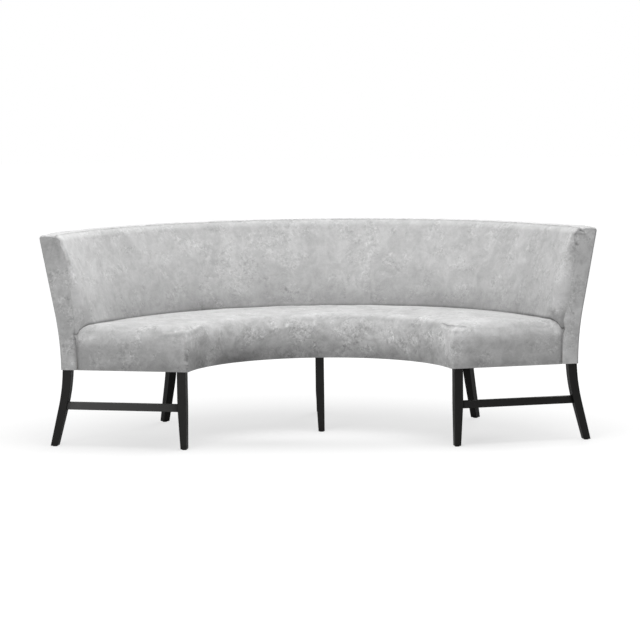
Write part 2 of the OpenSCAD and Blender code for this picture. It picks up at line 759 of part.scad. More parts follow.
// Flat end of the back, cut to the inside back's own section
module back_end_panel(side) {
    z1 = overall_h - seam_drop - skin;
    color("#9d9d9f") placed() in_end(side) rotate([90, 0, 90]) linear_extrude(cover_t)
        polygon(concat(
            [[seat_rear_r + crevice_gap, apron_z]],
            [for (j = [1 : cover_rows]) section_point(skin, j, 0)],
            [[roll_c_r, z1]],
            [for (z = band_z(z1, apron_z)) [back_r(z) - skin, z]]));
}

// Top band: from the seam at the inside back, over the wadding, and down over the outer edge
band_low_z = overall_h - 4 * top_edge_r / 3;
module back_top_band() {
    arc_steps = 5;
    function path(d) = concat(
        [[roll_c_r + cover_gap, overall_h - seam_drop - d],
            [roll_c_r + seam_rise_w, overall_h - d]],
        [for (i = [0 : arc_steps]) let (a = 90 - 90 * i / arc_steps, r = top_edge_r - d)
            [back_r(overall_h - top_edge_r) - top_edge_r + r * cos(a),
                overall_h - top_edge_r + r * sin(a)]],
        [[back_r(band_low_z) - d, band_low_z]]);
    inner = path(cover_t);
    color("#cfcfd1") placed() arc(-half_angle, half_angle)
        polygon(concat(path(0), [for (k = [len(inner) - 1 : -1 : 0]) inner[k]]));
}

module outside_back_cover() {
    color("#b9b9bb") placed() arc(-half_angle, half_angle)
        polygon(back_band(0, cover_t, apron_z, band_low_z - cover_gap));
}

module outer_board(side) {
    color("#8a6a45") placed() difference() {
        arc(side < 0 ? -half_angle : joint_a, side < 0 ? -joint_a : half_angle)
            polygon(back_band(skin, skin + board_t, rail_z, top_rail_top_z));
        end_trim(side, skin);
    }
}

module inner_panel(side) {
    z0 = back_rail_z;
    z1 = top_rail_top_z;
    color("#d8bd8a") placed() difference() {
        arc(side < 0 ? -half_angle : joint_a, side < 0 ? -joint_a : half_angle)
            polygon([[post_front(z0) - fit - panel_t, z0], [post_front(z0) - fit, z0],
                [post_front(z1) - fit, z1], [post_front(z1) - fit - panel_t, z1]]);
        end_trim(side, skin);
    }
}

// Thin cloth under the seat, cut out round the legs
module dust_cover() {
    leg_clear = 3 * fit;
    inset = 2 * leg_setback;
    color("#242424") placed() difference() {
        arc(-half_angle, half_angle)
            section_box(seat_front_r + inset, rail_z - dust_t,
                frame_rear_r - seat_front_r - 2 * inset, dust_t);
        for (side = [-1, 1]) end_trim(side, inset);
        for (k = [-2 : 2 : 2]) at_rib(k)
            translate([-leg_w / 2 - leg_clear, frame_front_r - over, apron_z])
                cube([leg_w + 2 * leg_clear, front_leg_step + leg_w + over + leg_clear, rail_z]);
        for (k = [-2 : 2]) at_rib(k)
            translate([-leg_w / 2 - leg_clear, post_front_r - leg_clear, apron_z])
                cube([leg_w + 2 * leg_clear, leg_w + rear_leg_d, rail_z]);
    }
}

front_leg(-2);  // front_leg_left
front_leg(0);  // front_leg_centre
front_leg(2);  // front_leg_right
rear_leg(-2);  // rear_leg_end_left
rear_leg(-1);  // rear_leg_mid_left
rear_leg(0);  // rear_leg_centre
rear_leg(1);  // rear_leg_mid_right
rear_leg(2);  // rear_leg_end_right
stretcher(-2);  // stretcher_left
stretcher(0);  // stretcher_centre
stretcher(2);  // stretcher_right
front_rail(-1);  // front_rail_left
front_rail(1);  // front_rail_right
rear_rail(-2, -1);  // rear_rail_outer_left
rear_rail(-1, 0);  // rear_rail_inner_left
rear_rail(0, 1);  // rear_rail_inner_right
rear_rail(1, 2);  // rear_rail_outer_right
radial_rail(-2);  // end_rail_left
radial_rail(2);  // end_rail_right
radial_rail(-1);  // cross_rail_left
radial_rail(0);  // cross_rail_centre
radial_rail(1);  // cross_rail_right
back_rail(-2, -1);  // back_rail_outer_left
back_rail(-1, 0);  // back_rail_inner_left
back_rail(0, 1);  // back_rail_inner_right
back_rail(1, 2);  // back_rail_outer_right
top_rail(-2, -1);  // top_rail_outer_left
top_rail(-1, 0);  // top_rail_inner_left
top_rail(0, 1);  // top_rail_inner_right
top_rail(1, 2);  // top_rail_outer_right
corner_blocks();
block_screws();
glides();
seat_straps();
seat_foam();
seat_cover();
inner_panel(-1);  // inner_panel_left
inner_panel(1);  // inner_panel_right
outer_board(-1);  // outer_board_left
outer_board(1);  // outer_board_right
back_foam();
inside_back_cover();
back_end_panel(-1);  // back_end_panel_left
back_end_panel(1);  // back_end_panel_right
back_top_band();
outside_back_cover();
dust_cover();
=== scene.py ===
"""Curved upholstered banquette bench: velvet covers over foam, on black tapered legs with stretchers.

Lengths are metres and angles are radians. A place in plan is a radius from the centre of the bench's
curve and an angle from its middle, with +X to the right and +Y to the back. Each surface is a grid of
points worked out from two parameters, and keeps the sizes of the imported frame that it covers.
"""
import json
import math

import bpy
import numpy as np
from mathutils import Matrix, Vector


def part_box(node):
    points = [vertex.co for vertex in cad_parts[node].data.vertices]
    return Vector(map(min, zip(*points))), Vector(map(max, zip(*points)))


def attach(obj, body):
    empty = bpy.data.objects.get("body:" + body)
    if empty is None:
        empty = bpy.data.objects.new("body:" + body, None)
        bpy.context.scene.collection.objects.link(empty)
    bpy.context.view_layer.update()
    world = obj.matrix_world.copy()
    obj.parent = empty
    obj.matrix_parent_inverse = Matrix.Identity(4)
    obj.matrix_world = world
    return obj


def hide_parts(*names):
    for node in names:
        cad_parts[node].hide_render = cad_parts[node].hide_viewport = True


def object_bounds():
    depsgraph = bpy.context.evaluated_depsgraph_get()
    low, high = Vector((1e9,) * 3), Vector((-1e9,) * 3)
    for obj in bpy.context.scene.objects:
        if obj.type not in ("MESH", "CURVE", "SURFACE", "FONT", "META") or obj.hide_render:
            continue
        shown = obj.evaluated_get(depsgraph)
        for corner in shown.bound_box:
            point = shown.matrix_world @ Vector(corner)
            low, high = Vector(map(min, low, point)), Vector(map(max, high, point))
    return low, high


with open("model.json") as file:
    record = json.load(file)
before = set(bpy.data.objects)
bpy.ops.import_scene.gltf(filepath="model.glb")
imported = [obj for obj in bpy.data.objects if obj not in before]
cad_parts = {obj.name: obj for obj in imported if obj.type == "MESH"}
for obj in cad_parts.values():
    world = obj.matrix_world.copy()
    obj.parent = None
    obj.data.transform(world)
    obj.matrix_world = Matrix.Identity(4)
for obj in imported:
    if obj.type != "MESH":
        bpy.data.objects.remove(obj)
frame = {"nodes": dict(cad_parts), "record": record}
CAD_BOX = [list(corner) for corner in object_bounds()]
MM = 0.001

# Plan and heights of the bench, measured over the fabric
HALF_ANGLE = math.radians(76.5)
MID_ANGLE = math.radians(37.2)
SEAT_FRONT_R = 515 * MM
BACK_BASE_R = 1020 * MM
TOP_Z = CAD_BOX[1][2]
APRON_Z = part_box("outside_back_cover")[0].z

# Seat
SEAT_EDGE_Z = 470 * MM
SEAT_CROWN = 8 * MM
SEAT_ROLL = 50 * MM
SEAT_BULGE = 2.5 * MM
BACK_FOOT_D = 65 * MM
SEAT_REAR_R = BACK_BASE_R - BACK_FOOT_D
CREVICE_R = SEAT_REAR_R - SEAT_ROLL
ROLL_Z = SEAT_EDGE_Z - SEAT_ROLL
CREVICE_GAP = 1.5 * MM

# Back
BEND_R = 1200 * MM
BACK_LEAN = math.radians(10.8)
LUMBAR_LEAN = math.radians(16.6)
TOP_ROLL = 30 * MM
SEAM_DROP = 3 * MM
SEAM_RISE_W = 18 * MM
TOP_EDGE_R = 6 * MM
END_ROUND = 50 * MM
END_DRAW = 60 * MM
BACK_CROWN = 4 * MM
BEND_TOP_Z = APRON_Z + BEND_R * math.sin(BACK_LEAN)

# Covers, boards and timber
COVER_T = 2.5 * MM
SKIN = COVER_T + 0.3 * MM
BOARD_SKIN = SKIN + 2.3 * MM
LEG_W = 34 * MM
FRONT_FOOT_W = 25 * MM
FRONT_STEP = 8 * MM
TAPER_Z = 165 * MM
REAR_LEG_D = 35 * MM
REAR_FOOT_D = 28 * MM
REAR_FOOT_W = 28 * MM
SWEEP_Z = 320 * MM
SWEEP_R = 700 * MM
LEG_SPLAY = math.radians(14)
RAIL_Z = APRON_Z + 3 * MM
RAIL_TOP_Z = RAIL_Z + 89 * MM
TOP_RAIL_Z = TOP_Z - SEAM_DROP - 42 * MM
FRAME_FRONT_R = SEAT_FRONT_R + SKIN
LEG_REAR_R = BACK_BASE_R - 3 * MM
POST_FRONT_R = LEG_REAR_R - REAR_LEG_D
END_LEG_T = SKIN + LEG_W / 2
FOOT_CUT = 1.5 * MM
GLIDE_H = 2.5 * MM
STRETCHER_Z = 145 * MM
STRETCHER_H = 29 * MM
STRETCHER_T = 20 * MM
EDGE_R = 1.6 * MM

# Radius of the fabric's corners at the bench's ends, the depth and width of a seam's groove and of
# the valley it lies in, the low seam's share of them, the swelling of the end panels and the length
# of its waves, and how far the painted shade in a seam reaches
END_CORNER_R = 5 * MM
SEAM_DIP = 0.9 * MM
SEAM_W = 3 * MM
VALLEY_DIP = 2.4 * MM
VALLEY_W = 9 * MM
LOW_SEAM_SHARE = 0.7
PANEL_SWELL = 0.6 * MM
PANEL_WAVE = 90 * MM
SEAM_SHADE = 7 * MM

# How far in from an end plane a seam's groove, the puckers and the unevenness of the cloth come to
# their full size, how far from a seam the unevenness does, and how far from it the puckers reach
SEAM_IN = 14 * MM
PUCKER_IN = 20 * MM
UNEVEN_IN = 30 * MM
UNEVEN_FROM_SEAM = 50 * MM
PUCKER_REACH = 30 * MM

# Half width of the painted shade in the crevice, the back's corner below the seat, and the groove
# where the seat meets an end
CREVICE_SHADE = 4.5 * MM
TUCK_CORNER_R = 1 * MM
SEAT_SEAM_DIP = 4 * MM
SEAT_SEAM_W = 5 * MM


def back_r(z):
    """Radius of the outside back: upright to the apron, then an arc, then a straight lean."""
    h = np.clip(np.asarray(z, float) - APRON_Z, 0, BEND_TOP_Z - APRON_Z)
    lean = np.maximum(0, z - BEND_TOP_Z) * math.tan(BACK_LEAN)
    return BACK_BASE_R + BEND_R - np.sqrt(BEND_R**2 - h**2) + lean


BACK_TOP_R = float(back_r(TOP_Z))
BAND_LOW_Z = TOP_Z - 4 * TOP_EDGE_R / 3
ARC_Y = -(BACK_TOP_R + SEAT_FRONT_R * math.cos(HALF_ANGLE)) / 2
ROLL_C_Z = TOP_Z - SEAM_DROP - TOP_ROLL
ROLL_START_Z = ROLL_C_Z + TOP_ROLL * math.sin(LUMBAR_LEAN)
HEM_Z = RAIL_TOP_Z + 6 * MM


def face_r(z):
    """Radius of the inside back's straight face at a height."""
    return CREVICE_R + (z - SEAT_EDGE_Z) * math.tan(LUMBAR_LEAN)


ROLL_C_R = face_r(ROLL_START_Z) + TOP_ROLL * math.cos(LUMBAR_LEAN)


def ease(x):
    """Smooth step from 0 to 1 with level ends: 3x^2 - 2x^3."""
    x = np.clip(x, 0, 1)
    return x * x * (3 - 2 * x)


def rise(x, start, width):
    """Smooth step that is 0 up to a start and 1 from a width further on: ease((x - start) / width)."""
    return ease((x - start) / width)


def bump(x, width):
    """Bell of height 1 at 0 that falls off over a width."""
    return np.exp(-((x / width) ** 2))


# Waves that a ripple is the sum of
RIPPLE_WAVES = 36


def ripple(points, length, seed, stretch=(1, 1, 1)):
    """Random smooth field of about unit size: the sum of waves with random directions and phases,
    whose lengths lie round the one given, times a stretch on each axis."""
    rng = np.random.default_rng(seed)
    k = rng.normal(size=(RIPPLE_WAVES, 3))
    lengths = length * rng.uniform(0.7, 1.5, (RIPPLE_WAVES, 1))
    k *= 2 * np.pi / (lengths * np.linalg.norm(k, axis=1)[:, None])
    k /= np.array(stretch)
    phase = rng.uniform(0, 2 * np.pi, RIPPLE_WAVES)
    return np.cos(points @ k.T + phase).sum(-1) / math.sqrt(RIPPLE_WAVES / 2)


# Waves of each cover's unevenness: height, length, seed of the random draws, stretch on each axis
INSIDE_WAVES = ((1.1 * MM, 0.16, 1, (1, 1, 1.6)), (0.35 * MM, 0.05, 2, (1, 1, 1.3)))
INSIDE_PUCKERS = ((0.35 * MM, 0.03, 3, (1, 1, 6)),)
BAND_WAVES = ((0.5 * MM, 0.12, 6, (1, 1, 1)),)
BAND_PUCKERS = ((0.25 * MM, 0.035, 5, (1, 1, 1)),)
OUTSIDE_WAVES = ((0.6 * MM, 0.2, 7, (1, 1, 1.5)),)
SEAT_WAVES = ((0.7 * MM, 0.13, 21, (1, 1, 1)), (0.3 * MM, 0.05, 22, (1, 1, 1)))
DUST_WAVES = ((0.5 * MM, 0.08, 12, (1, 1, 1)),)


def uneven(points, waves):
    """Height of a cover's unevenness at points: the sum of its ripples."""
    return sum(height * ripple(points, length, seed, stretch) for height, length, seed, stretch in waves)


def polar(r, a, z):
    """Points from radius, angle and height, with the origin under the middle of the bench's box."""
    r, a, z = np.broadcast_arrays(r, a, z)
    return np.stack([r * np.sin(a), r * np.cos(a) + ARC_Y, z], -1)


def end_point(side, t, y, z):
    """Points in the frame of one end: t in from the end plane, y outwards along it."""
    t, y, z = np.broadcast_arrays(t, y, z)
    a = side * HALF_ANGLE
    return np.stack([y * math.sin(a) - side * t * math.cos(a),
                     y * math.cos(a) + side * t * math.sin(a) + ARC_Y, z], -1)


def normals(grid):
    """Unit normals of a grid of points, from the cross product of its two directions."""
    n = np.cross(np.gradient(grid, axis=0), np.gradient(grid, axis=1))
    return n / np.maximum(np.linalg.norm(n, axis=-1, keepdims=True), 1e-12)


def cell_faces(n, m):
    """Quads of a grid of n by m points that are listed column by column."""
    a = (np.arange(n - 1)[:, None] * m + np.arange(m - 1)).ravel()
    return np.stack([a, a + m, a + m + 1, a + 1], -1)


def signed_volume(points, quads):
    """Six times the volume that quads close in, positive if they face outwards."""
    a, b, c, d = (points[quads[:, i]] for i in range(4))
    return (a * np.cross(b, c)).sum() + (a * np.cross(c, d)).sum()


def make_object(name, points, quads, caps=(), uv=None, **values):
    """Object with a smooth mesh of quads and any cap polygons, a UV pair for each point, and named
    values for each point that a material can read. Open edges are sharp, so that the rim that a
    thickness adds doesn't tilt the shading beside it."""
    mesh = bpy.data.meshes.new(name)
    faces = quads.tolist() + [list(cap) for cap in caps]
    mesh.from_pydata(points.tolist(), [], faces)
    mesh.polygons.foreach_set("use_smooth", np.ones(len(faces), bool))
    if uv is not None:
        corners = np.zeros(len(mesh.loops), np.int32)
        mesh.loops.foreach_get("vertex_index", corners)
        mesh.uv_layers.new(name="UVMap").data.foreach_set("uv", uv[corners].astype(np.float32).ravel())
    for label, value in values.items():
        value = np.broadcast_to(value, len(points)).astype(np.float32)
        mesh.attributes.new(label, "FLOAT", "POINT").data.foreach_set("value", value)
    edge = np.zeros(len(mesh.loops), np.int32)
    mesh.loops.foreach_get("edge_index", edge)
    mesh.attributes.new("sharp_edge", "BOOLEAN", "EDGE").data.foreach_set("value", np.bincount(edge) == 1)
    mesh.update()
    obj = bpy.data.objects.new(name, mesh)
    bpy.context.scene.collection.objects.link(obj)
    return obj


def cover(name, grid, outwards, nap, crush):
    """Velvet sheet of one open grid, settled and given its thickness. Outwards is 1 if the cross
    product of the grid's directions faces out, or -1. The fourth argument is painted light and shade,
    a factor on the colour at each point, and crush is how strongly it is mottled."""
    n, m = grid.shape[:2]
    quads = cell_faces(n, m)[:, ::outwards]
    nap, crush = (np.broadcast_to(value, (n, m)).ravel() for value in (nap, crush))
    return thicken(make_object(name, settled(grid).reshape(-1, 3), quads, nap=nap, crush=crush), COVER_T)


def tube_object(name, grid, uv=None, **values):
    """Closed object of a grid whose rows run round a tube, with a cap at each end. It is turned
    inside out if it closes in less than no volume, so that its faces point outwards."""
    n, m = grid.shape[:2]
    a = (np.arange(n - 1)[:, None] * m + np.arange(m)).ravel()
    b = (np.arange(n - 1)[:, None] * m + np.roll(np.arange(m), -1)).ravel()
    quads = np.stack([a, b, b + m, a + m], -1)
    caps = [np.arange(m)[::-1], (n - 1) * m + np.arange(m)]
    points = grid.reshape(-1, 3)
    if signed_volume(points - points.mean(0), quads) < 0:
        quads, caps = quads[:, ::-1], [cap[::-1] for cap in caps]
    return make_object(name, points, quads, caps, uv, **values)


def thicken(obj, thickness):
    """Gives cloth its thickness, inwards from the face that shows."""
    wall = obj.modifiers.new("thickness", "SOLIDIFY")
    wall.thickness = thickness
    wall.offset = -1
    return obj


# Columns along the back: distances in from an end plane over its rounded corner and its soft end,
# and then shares of the angle between the two ends
CORNER_COLUMNS = 9
SOFT_COLUMNS = 13
MIDDLE_COLUMNS = 361
corner_ts = END_CORNER_R * (1 - np.cos(np.linspace(0, np.pi / 2, CORNER_COLUMNS)))
soft_ts = END_CORNER_R + (END_ROUND - END_CORNER_R) * np.linspace(0, 1, SOFT_COLUMNS)[1:-1] ** 1.3
END_TS = np.concatenate([corner_ts, soft_ts])
MIDDLE_SHARES = np.linspace(-1, 1, MIDDLE_COLUMNS)
COLUMN_T = np.concatenate([END_TS, np.full(MIDDLE_COLUMNS, END_ROUND), END_TS[::-1]])[:, None]
COLUMN_SHARE = np.concatenate([-np.ones(len(END_TS)), MIDDLE_SHARES, np.ones(len(END_TS))])[:, None]


def column_angle(r):
    """Angle of each column at a radius: its distance from the end plane there, or its share."""
    return COLUMN_SHARE * (HALF_ANGLE - np.arcsin(COLUMN_T / r))


def corner_inset(t, radius=END_CORNER_R):
    """How far a surface lies inside its face at distance t from the end plane: a quarter circle."""
    return radius - np.sqrt(np.maximum(radius**2 - np.maximum(radius - t, 0) ** 2, 0))


# Least share of the roll's arc at the ends, the power that draws the back in below, and the power
# that blends the face into the part under it
LEAST_SHARE = 0.03
DRAW_POWER = 2.5
BLEND_POWER = 6


def under_part(t, share, d):
    """Radius and height under the back, round the seat's rear roll: an arc about the roll's centre
    that stops where the seat's end rounds off."""
    top = np.arccos(1 - np.clip(t / SEAT_ROLL, LEAST_SHARE, 1))
    r = SEAT_ROLL + CREVICE_GAP + d
    return CREVICE_R + r * np.cos(top * share) + d * share, ROLL_Z + r * np.sin(top * share)


def straight_face(t, z, share, d):
    """Radius of the inside back's face: a lean, less its crown, drawn in towards the lower ends."""
    end = np.where(t < END_ROUND, 1 - np.sqrt(1 - (1 - np.minimum(t, END_ROUND) / END_ROUND) ** 2), 0)
    drop = np.clip((ROLL_START_Z - z) / (ROLL_START_Z - ROLL_Z), 0, None)
    return (face_r(z) + END_DRAW * drop**DRAW_POWER * end
            - BACK_CROWN * np.sin(np.pi * share) * (1 - end) + d / math.cos(LUMBAR_LEAN))


def face_part(t, share, d):
    """Radius and height of the inside back's face, blended into the part under it."""
    r0, z0 = under_part(t, 1, d)
    z1 = ROLL_C_Z + (TOP_ROLL - d) * math.sin(LUMBAR_LEAN)
    z = z0 + (z1 - z0) * share
    gap = r0 - straight_face(t, z0, 0, d)
    return straight_face(t, z, share, d) + gap * (1 - share) ** BLEND_POWER, z


def roll_part(share, d):
    """Radius and height of the inside back's top roll: an arc from the face to the seam."""
    a = LUMBAR_LEAN + (np.pi / 2 - LUMBAR_LEAN) * share
    return ROLL_C_R - (TOP_ROLL - d) * np.cos(a), ROLL_C_Z + (TOP_ROLL - d) * np.sin(a)


# Rows of the inside back: the hem, the part under the crevice, the face and the top roll
HEM_ROWS = 4
UNDER_SHARES = np.linspace(0, 1, 18)
FACE_SHARES = np.linspace(0, 1, 66)[1:]
ROLL_SHARES = np.linspace(0, 1, 14)[1:]


def inside_section(t):
    """Radius and height of the inside back along every row, for columns at distances t from the end
    plane, drawn in by a rounded corner whose radius is small below the seat."""
    low = TUCK_CORNER_R + (END_CORNER_R - TUCK_CORNER_R) * UNDER_SHARES
    return section_at(t, corner_inset(t, low), corner_inset(t), corner_inset(t))


def section_at(t, under, face, roll):
    """Radius and height of the inside back's rows, inset by the given depths in its three parts,
    with rows down to the hem below them."""
    parts = [under_part(t, UNDER_SHARES, under), face_part(t, FACE_SHARES, face),
             roll_part(ROLL_SHARES, roll)]
    shape = np.broadcast_shapes(t.shape, (1, 1))
    r, z = (np.concatenate([p[k] * np.ones((shape[0], 1)) for p in parts], 1) for k in range(2))
    hem = np.linspace(HEM_Z, ROLL_Z, HEM_ROWS + 1)[:-1] * np.ones((shape[0], 1))
    return np.concatenate([r[:, :1] * np.ones((1, HEM_ROWS)), r], 1), np.concatenate([hem, z], 1)


def path_length(grid, axis):
    """Length along a grid from its first point, in the direction of an axis."""
    step = np.linalg.norm(np.diff(grid, axis=axis), axis=-1)
    pad = [(1, 0) if k == axis else (0, 0) for k in range(2)]
    return np.cumsum(np.pad(step, pad), axis=axis)


def near_line(points, line):
    """Distance of points from a line drawn through given places."""
    best = np.full(points.shape[:-1], np.inf)
    for a, b in zip(line[:-1], line[1:]):
        share = np.clip((points - a) @ (b - a) / ((b - a) @ (b - a)), 0, 1)
        best = np.minimum(best, np.linalg.norm(points - a - share[..., None] * (b - a), axis=-1))
    return best


# Step of the places along a mark
MARK_STEP = 6 * MM


def laid_line(points, out, places):
    """Places a step apart along a broken line, moved on to the surface that points and their normals
    give: p + n ((q - p) . n) for the nearest point q and its normal n. Places more than two steps
    from the surface are left out."""
    steps = [np.linspace(a, b, 2 + int(np.linalg.norm(b - a) / MARK_STEP))[1:]
             for a, b in zip(places[:-1], places[1:])]
    line = np.concatenate([places[:1]] + steps)
    points, out = points.reshape(-1, 3), out.reshape(-1, 3)
    near = np.array([((points - place) ** 2).sum(1).argmin() for place in line])
    away = ((points[near] - line) * out[near]).sum(1, keepdims=True)
    found = np.linalg.norm(points[near] - line, axis=1) < 2 * MARK_STEP
    return (line + out[near] * away)[found]


def crease(points, out, marks):
    """Presses marks into points against their outward normals, and gives the painted shade in each
    crease and painted light on each ridge. A mark is a side, places (t, y, z) in that end's frame, a
    depth and its half width, and a painted tone and its half width, all lengths in millimetres."""
    depth, tone = np.zeros(points.shape[:-1]), np.zeros(points.shape[:-1])
    out = np.broadcast_to(out, points.shape)
    for side, places, deep, wide, shade, reach in marks:
        line = laid_line(points, out, end_point(side, *(np.array(places, float) * MM).T))
        if len(line) > 1:
            far = near_line(points, line)
            depth += deep * MM * bump(far, wide * MM)
            # Painted shade in a crease, or painted light on a ridge
            tone += shade * bump(far, reach * MM)
    return points - out * depth[..., None], tone


# How far the crevice has sunk, how much less on the right, the lift of the right end's top, and how
# far and over what width the top's outer edge is rounded near the ends
CREVICE_SINK = 4.5 * MM
CREVICE_SINK_RIGHT = 2.5 * MM
END_LIFT = 4 * MM
END_SOFTEN = 2.2 * MM
END_SOFTEN_W = 9 * MM


def settled(points):
    """Moves points of the back and the seat as the stuffing has settled: the crevice lies a little
    lower, most in the middle, the right end's top a little higher, and the top's outer edge is
    rounder near the ends. Each is a length times smooth steps of the angle, radius and height."""
    x, y, z = (points[..., k] for k in range(3))
    r = np.hypot(x, y - ARC_Y)
    share = np.arctan2(x, y - ARC_Y) / HALF_ANGLE
    sink = CREVICE_SINK - CREVICE_SINK_RIGHT * ease(share / 0.5)
    sink = sink * (1 - rise(np.abs(share), 0.8, 0.18)) * rise(r, 800 * MM, 100 * MM)
    sink = sink * rise(z, ROLL_Z, SEAT_ROLL) * (1 - rise(z, 480 * MM, 200 * MM))
    lift = END_LIFT * rise(share, 0.75, 0.25) * rise(z, 600 * MM, 200 * MM)
    corner = np.hypot(back_r(z) - r, TOP_Z - z)
    soft = END_SOFTEN * bump(corner, END_SOFTEN_W) * rise(np.abs(share), 0.93, 0.07)
    scale = 1 - soft / np.maximum(r, 0.1)
    return np.stack([x * scale, (y - ARC_Y) * scale + ARC_Y, z - sink + lift - soft], -1)


# Pleats and dimples where the velvet is gathered at the back's right top corner, and creases at its
# left end, each with painted shade in its hollow or painted light on its ridge
BACK_MARKS = (
    (1, [(9, 1009, 815), (3, 1024, 808), (0, 1042, 801)], 1.1, 3, -0.3, 3.2),
    (1, [(7, 1014, 808), (2, 1028, 801), (0, 1042, 795)], -0.8, 3, 0.14, 3.2),
    (1, [(8, 986, 799), (1, 1016, 793), (0, 1048, 789)], 1, 5, -0.22, 6),
    (1, [(0, 1013, 757), (0, 1019, 751)], 1.8, 4.5, -0.36, 4.5),
    (1, [(0, 1003, 741), (0, 1005, 735)], 1, 3.5, -0.24, 3.5),
    (1, [(0, 1008, 748), (0, 1011, 744)], -0.8, 3, 0.14, 3),
    (1, [(0, 1034, 690), (0, 1036, 680)], 1, 6, -0.1, 9),
    (1, [(4, 990, 770), (4, 994, 764)], -0.8, 4, 0.12, 4),
    (1, [(0, 1050, 800), (0, 1054, 797)], -0.6, 3, 0.2, 3),
    (-1, [(3, 1006, 783), (3, 985, 752), (3, 974, 712)], 0.5, 2.6, -0.12, 3.5),
    (-1, [(0, 1030, 770), (0, 1018, 742), (0, 1022, 716)], 0.8, 7, -0.06, 9))

# Folds and puckers at the seat's front corners, each with painted shade in its hollow or painted
# light on its ridge
SEAT_MARKS = (
    (-1, [(-5, 519, 412), (-3, 519, 346)], 1.6, 3.6, -0.34, 4),
    (-1, [(-3, 529, 412), (-3, 529, 345)], -0.9, 4.5, 0.12, 5),
    (-1, [(-3, 519, 338), (-3, 520, 333)], -1.4, 5, 0.14, 4),
    (-1, [(-2, 526, 328), (2, 516, 326)], 1.4, 3, -0.3, 3),
    (-1, [(3, 602, 450), (5, 575, 452), (26, 522, 456), (100, 516, 460), (156, 509, 464)], -1, 5, 0.2, 5),
    (-1, [(2, 602, 438), (3, 575, 438), (16, 516, 440), (100, 512, 446), (150, 510, 451)], 0.9, 6, -0.16, 8),
    (-1, [(60, 511, 372), (95, 511, 350)], 0.7, 18, -0.12, 24),
    (1, [(10, 572, 457), (18, 533, 458), (71, 521, 459), (128, 515, 463)], 1.5, 2.4, -0.42, 2.5),
    (1, [(6, 572, 447), (15, 527, 447), (71, 515, 448), (128, 512, 452)], -0.9, 5, 0.17, 6),
    (1, [(0, 531, 443), (-1, 527, 438), (0, 523, 441)], 1.2, 2.4, -0.28, 3),
    (1, [(21, 510, 401), (12, 513, 356), (3, 515, 311)], -0.9, 8, 0.08, 9),
    (1, [(-3, 545, 373), (-3, 590, 366)], 0.8, 14, -0.12, 18))


# How much further the inside back rounds off at its left and its right end, over what height that
# comes in below the top, and what the left end adds round one height
END_SOFT = (13 * MM, 30 * MM)
END_SOFT_RISE = (220 * MM, 100 * MM)
END_SOFT_LEFT = 8 * MM
END_SOFT_LEFT_Z = 780 * MM


def soft_end(side, t, z):
    """How much further than its seam's radius the inside back rounds off at an end: more where it is
    high above the seat and below the top, and more on the right."""
    most, over = (np.where(side < 0, *pair) for pair in (END_SOFT, END_SOFT_RISE))
    more = most * ease((TOP_Z - 12 * MM - z) / over) * rise(z, 450 * MM, 100 * MM)
    more = more + np.where(side < 0, END_SOFT_LEFT, 0) * bump(z - END_SOFT_LEFT_Z, 18 * MM)
    return corner_inset(t, END_CORNER_R + more) - corner_inset(t)


# Painted light and shade of the inside back, as factors on its colour from a base level. It is painted
# paler towards the ends and darker on the right, in its upper part from left to right, at the top seam,
# inside the crevice and in soft painted shades above it, of which one lies at two places on the sides.
# Each shade is its tone and half width up from the crevice.
BACK_SHADING_BASE = 0.92
BACK_ENDS = 0.12
BACK_RIGHT = 0.12
BACK_TILT = 0.04
BACK_SEAM = 0.25
CREVICE_TONES = (0.12, 0.33)
WIDE_SHADE = (0.2, 120 * MM)
NEAR_SHADE = (0.1, 45 * MM)
SIDE_SHADE = (0.1, 60 * MM)
SIDE_SHARE = 0.46

# Painted highlight where the back rounds off into its ends: on the left, on the right below, what the
# right loses above, and how far in that reaches
END_PAINTED_LIGHT = (0.08, 0.28, 0.2)
END_PAINTED_LIGHT_REACH = 90 * MM


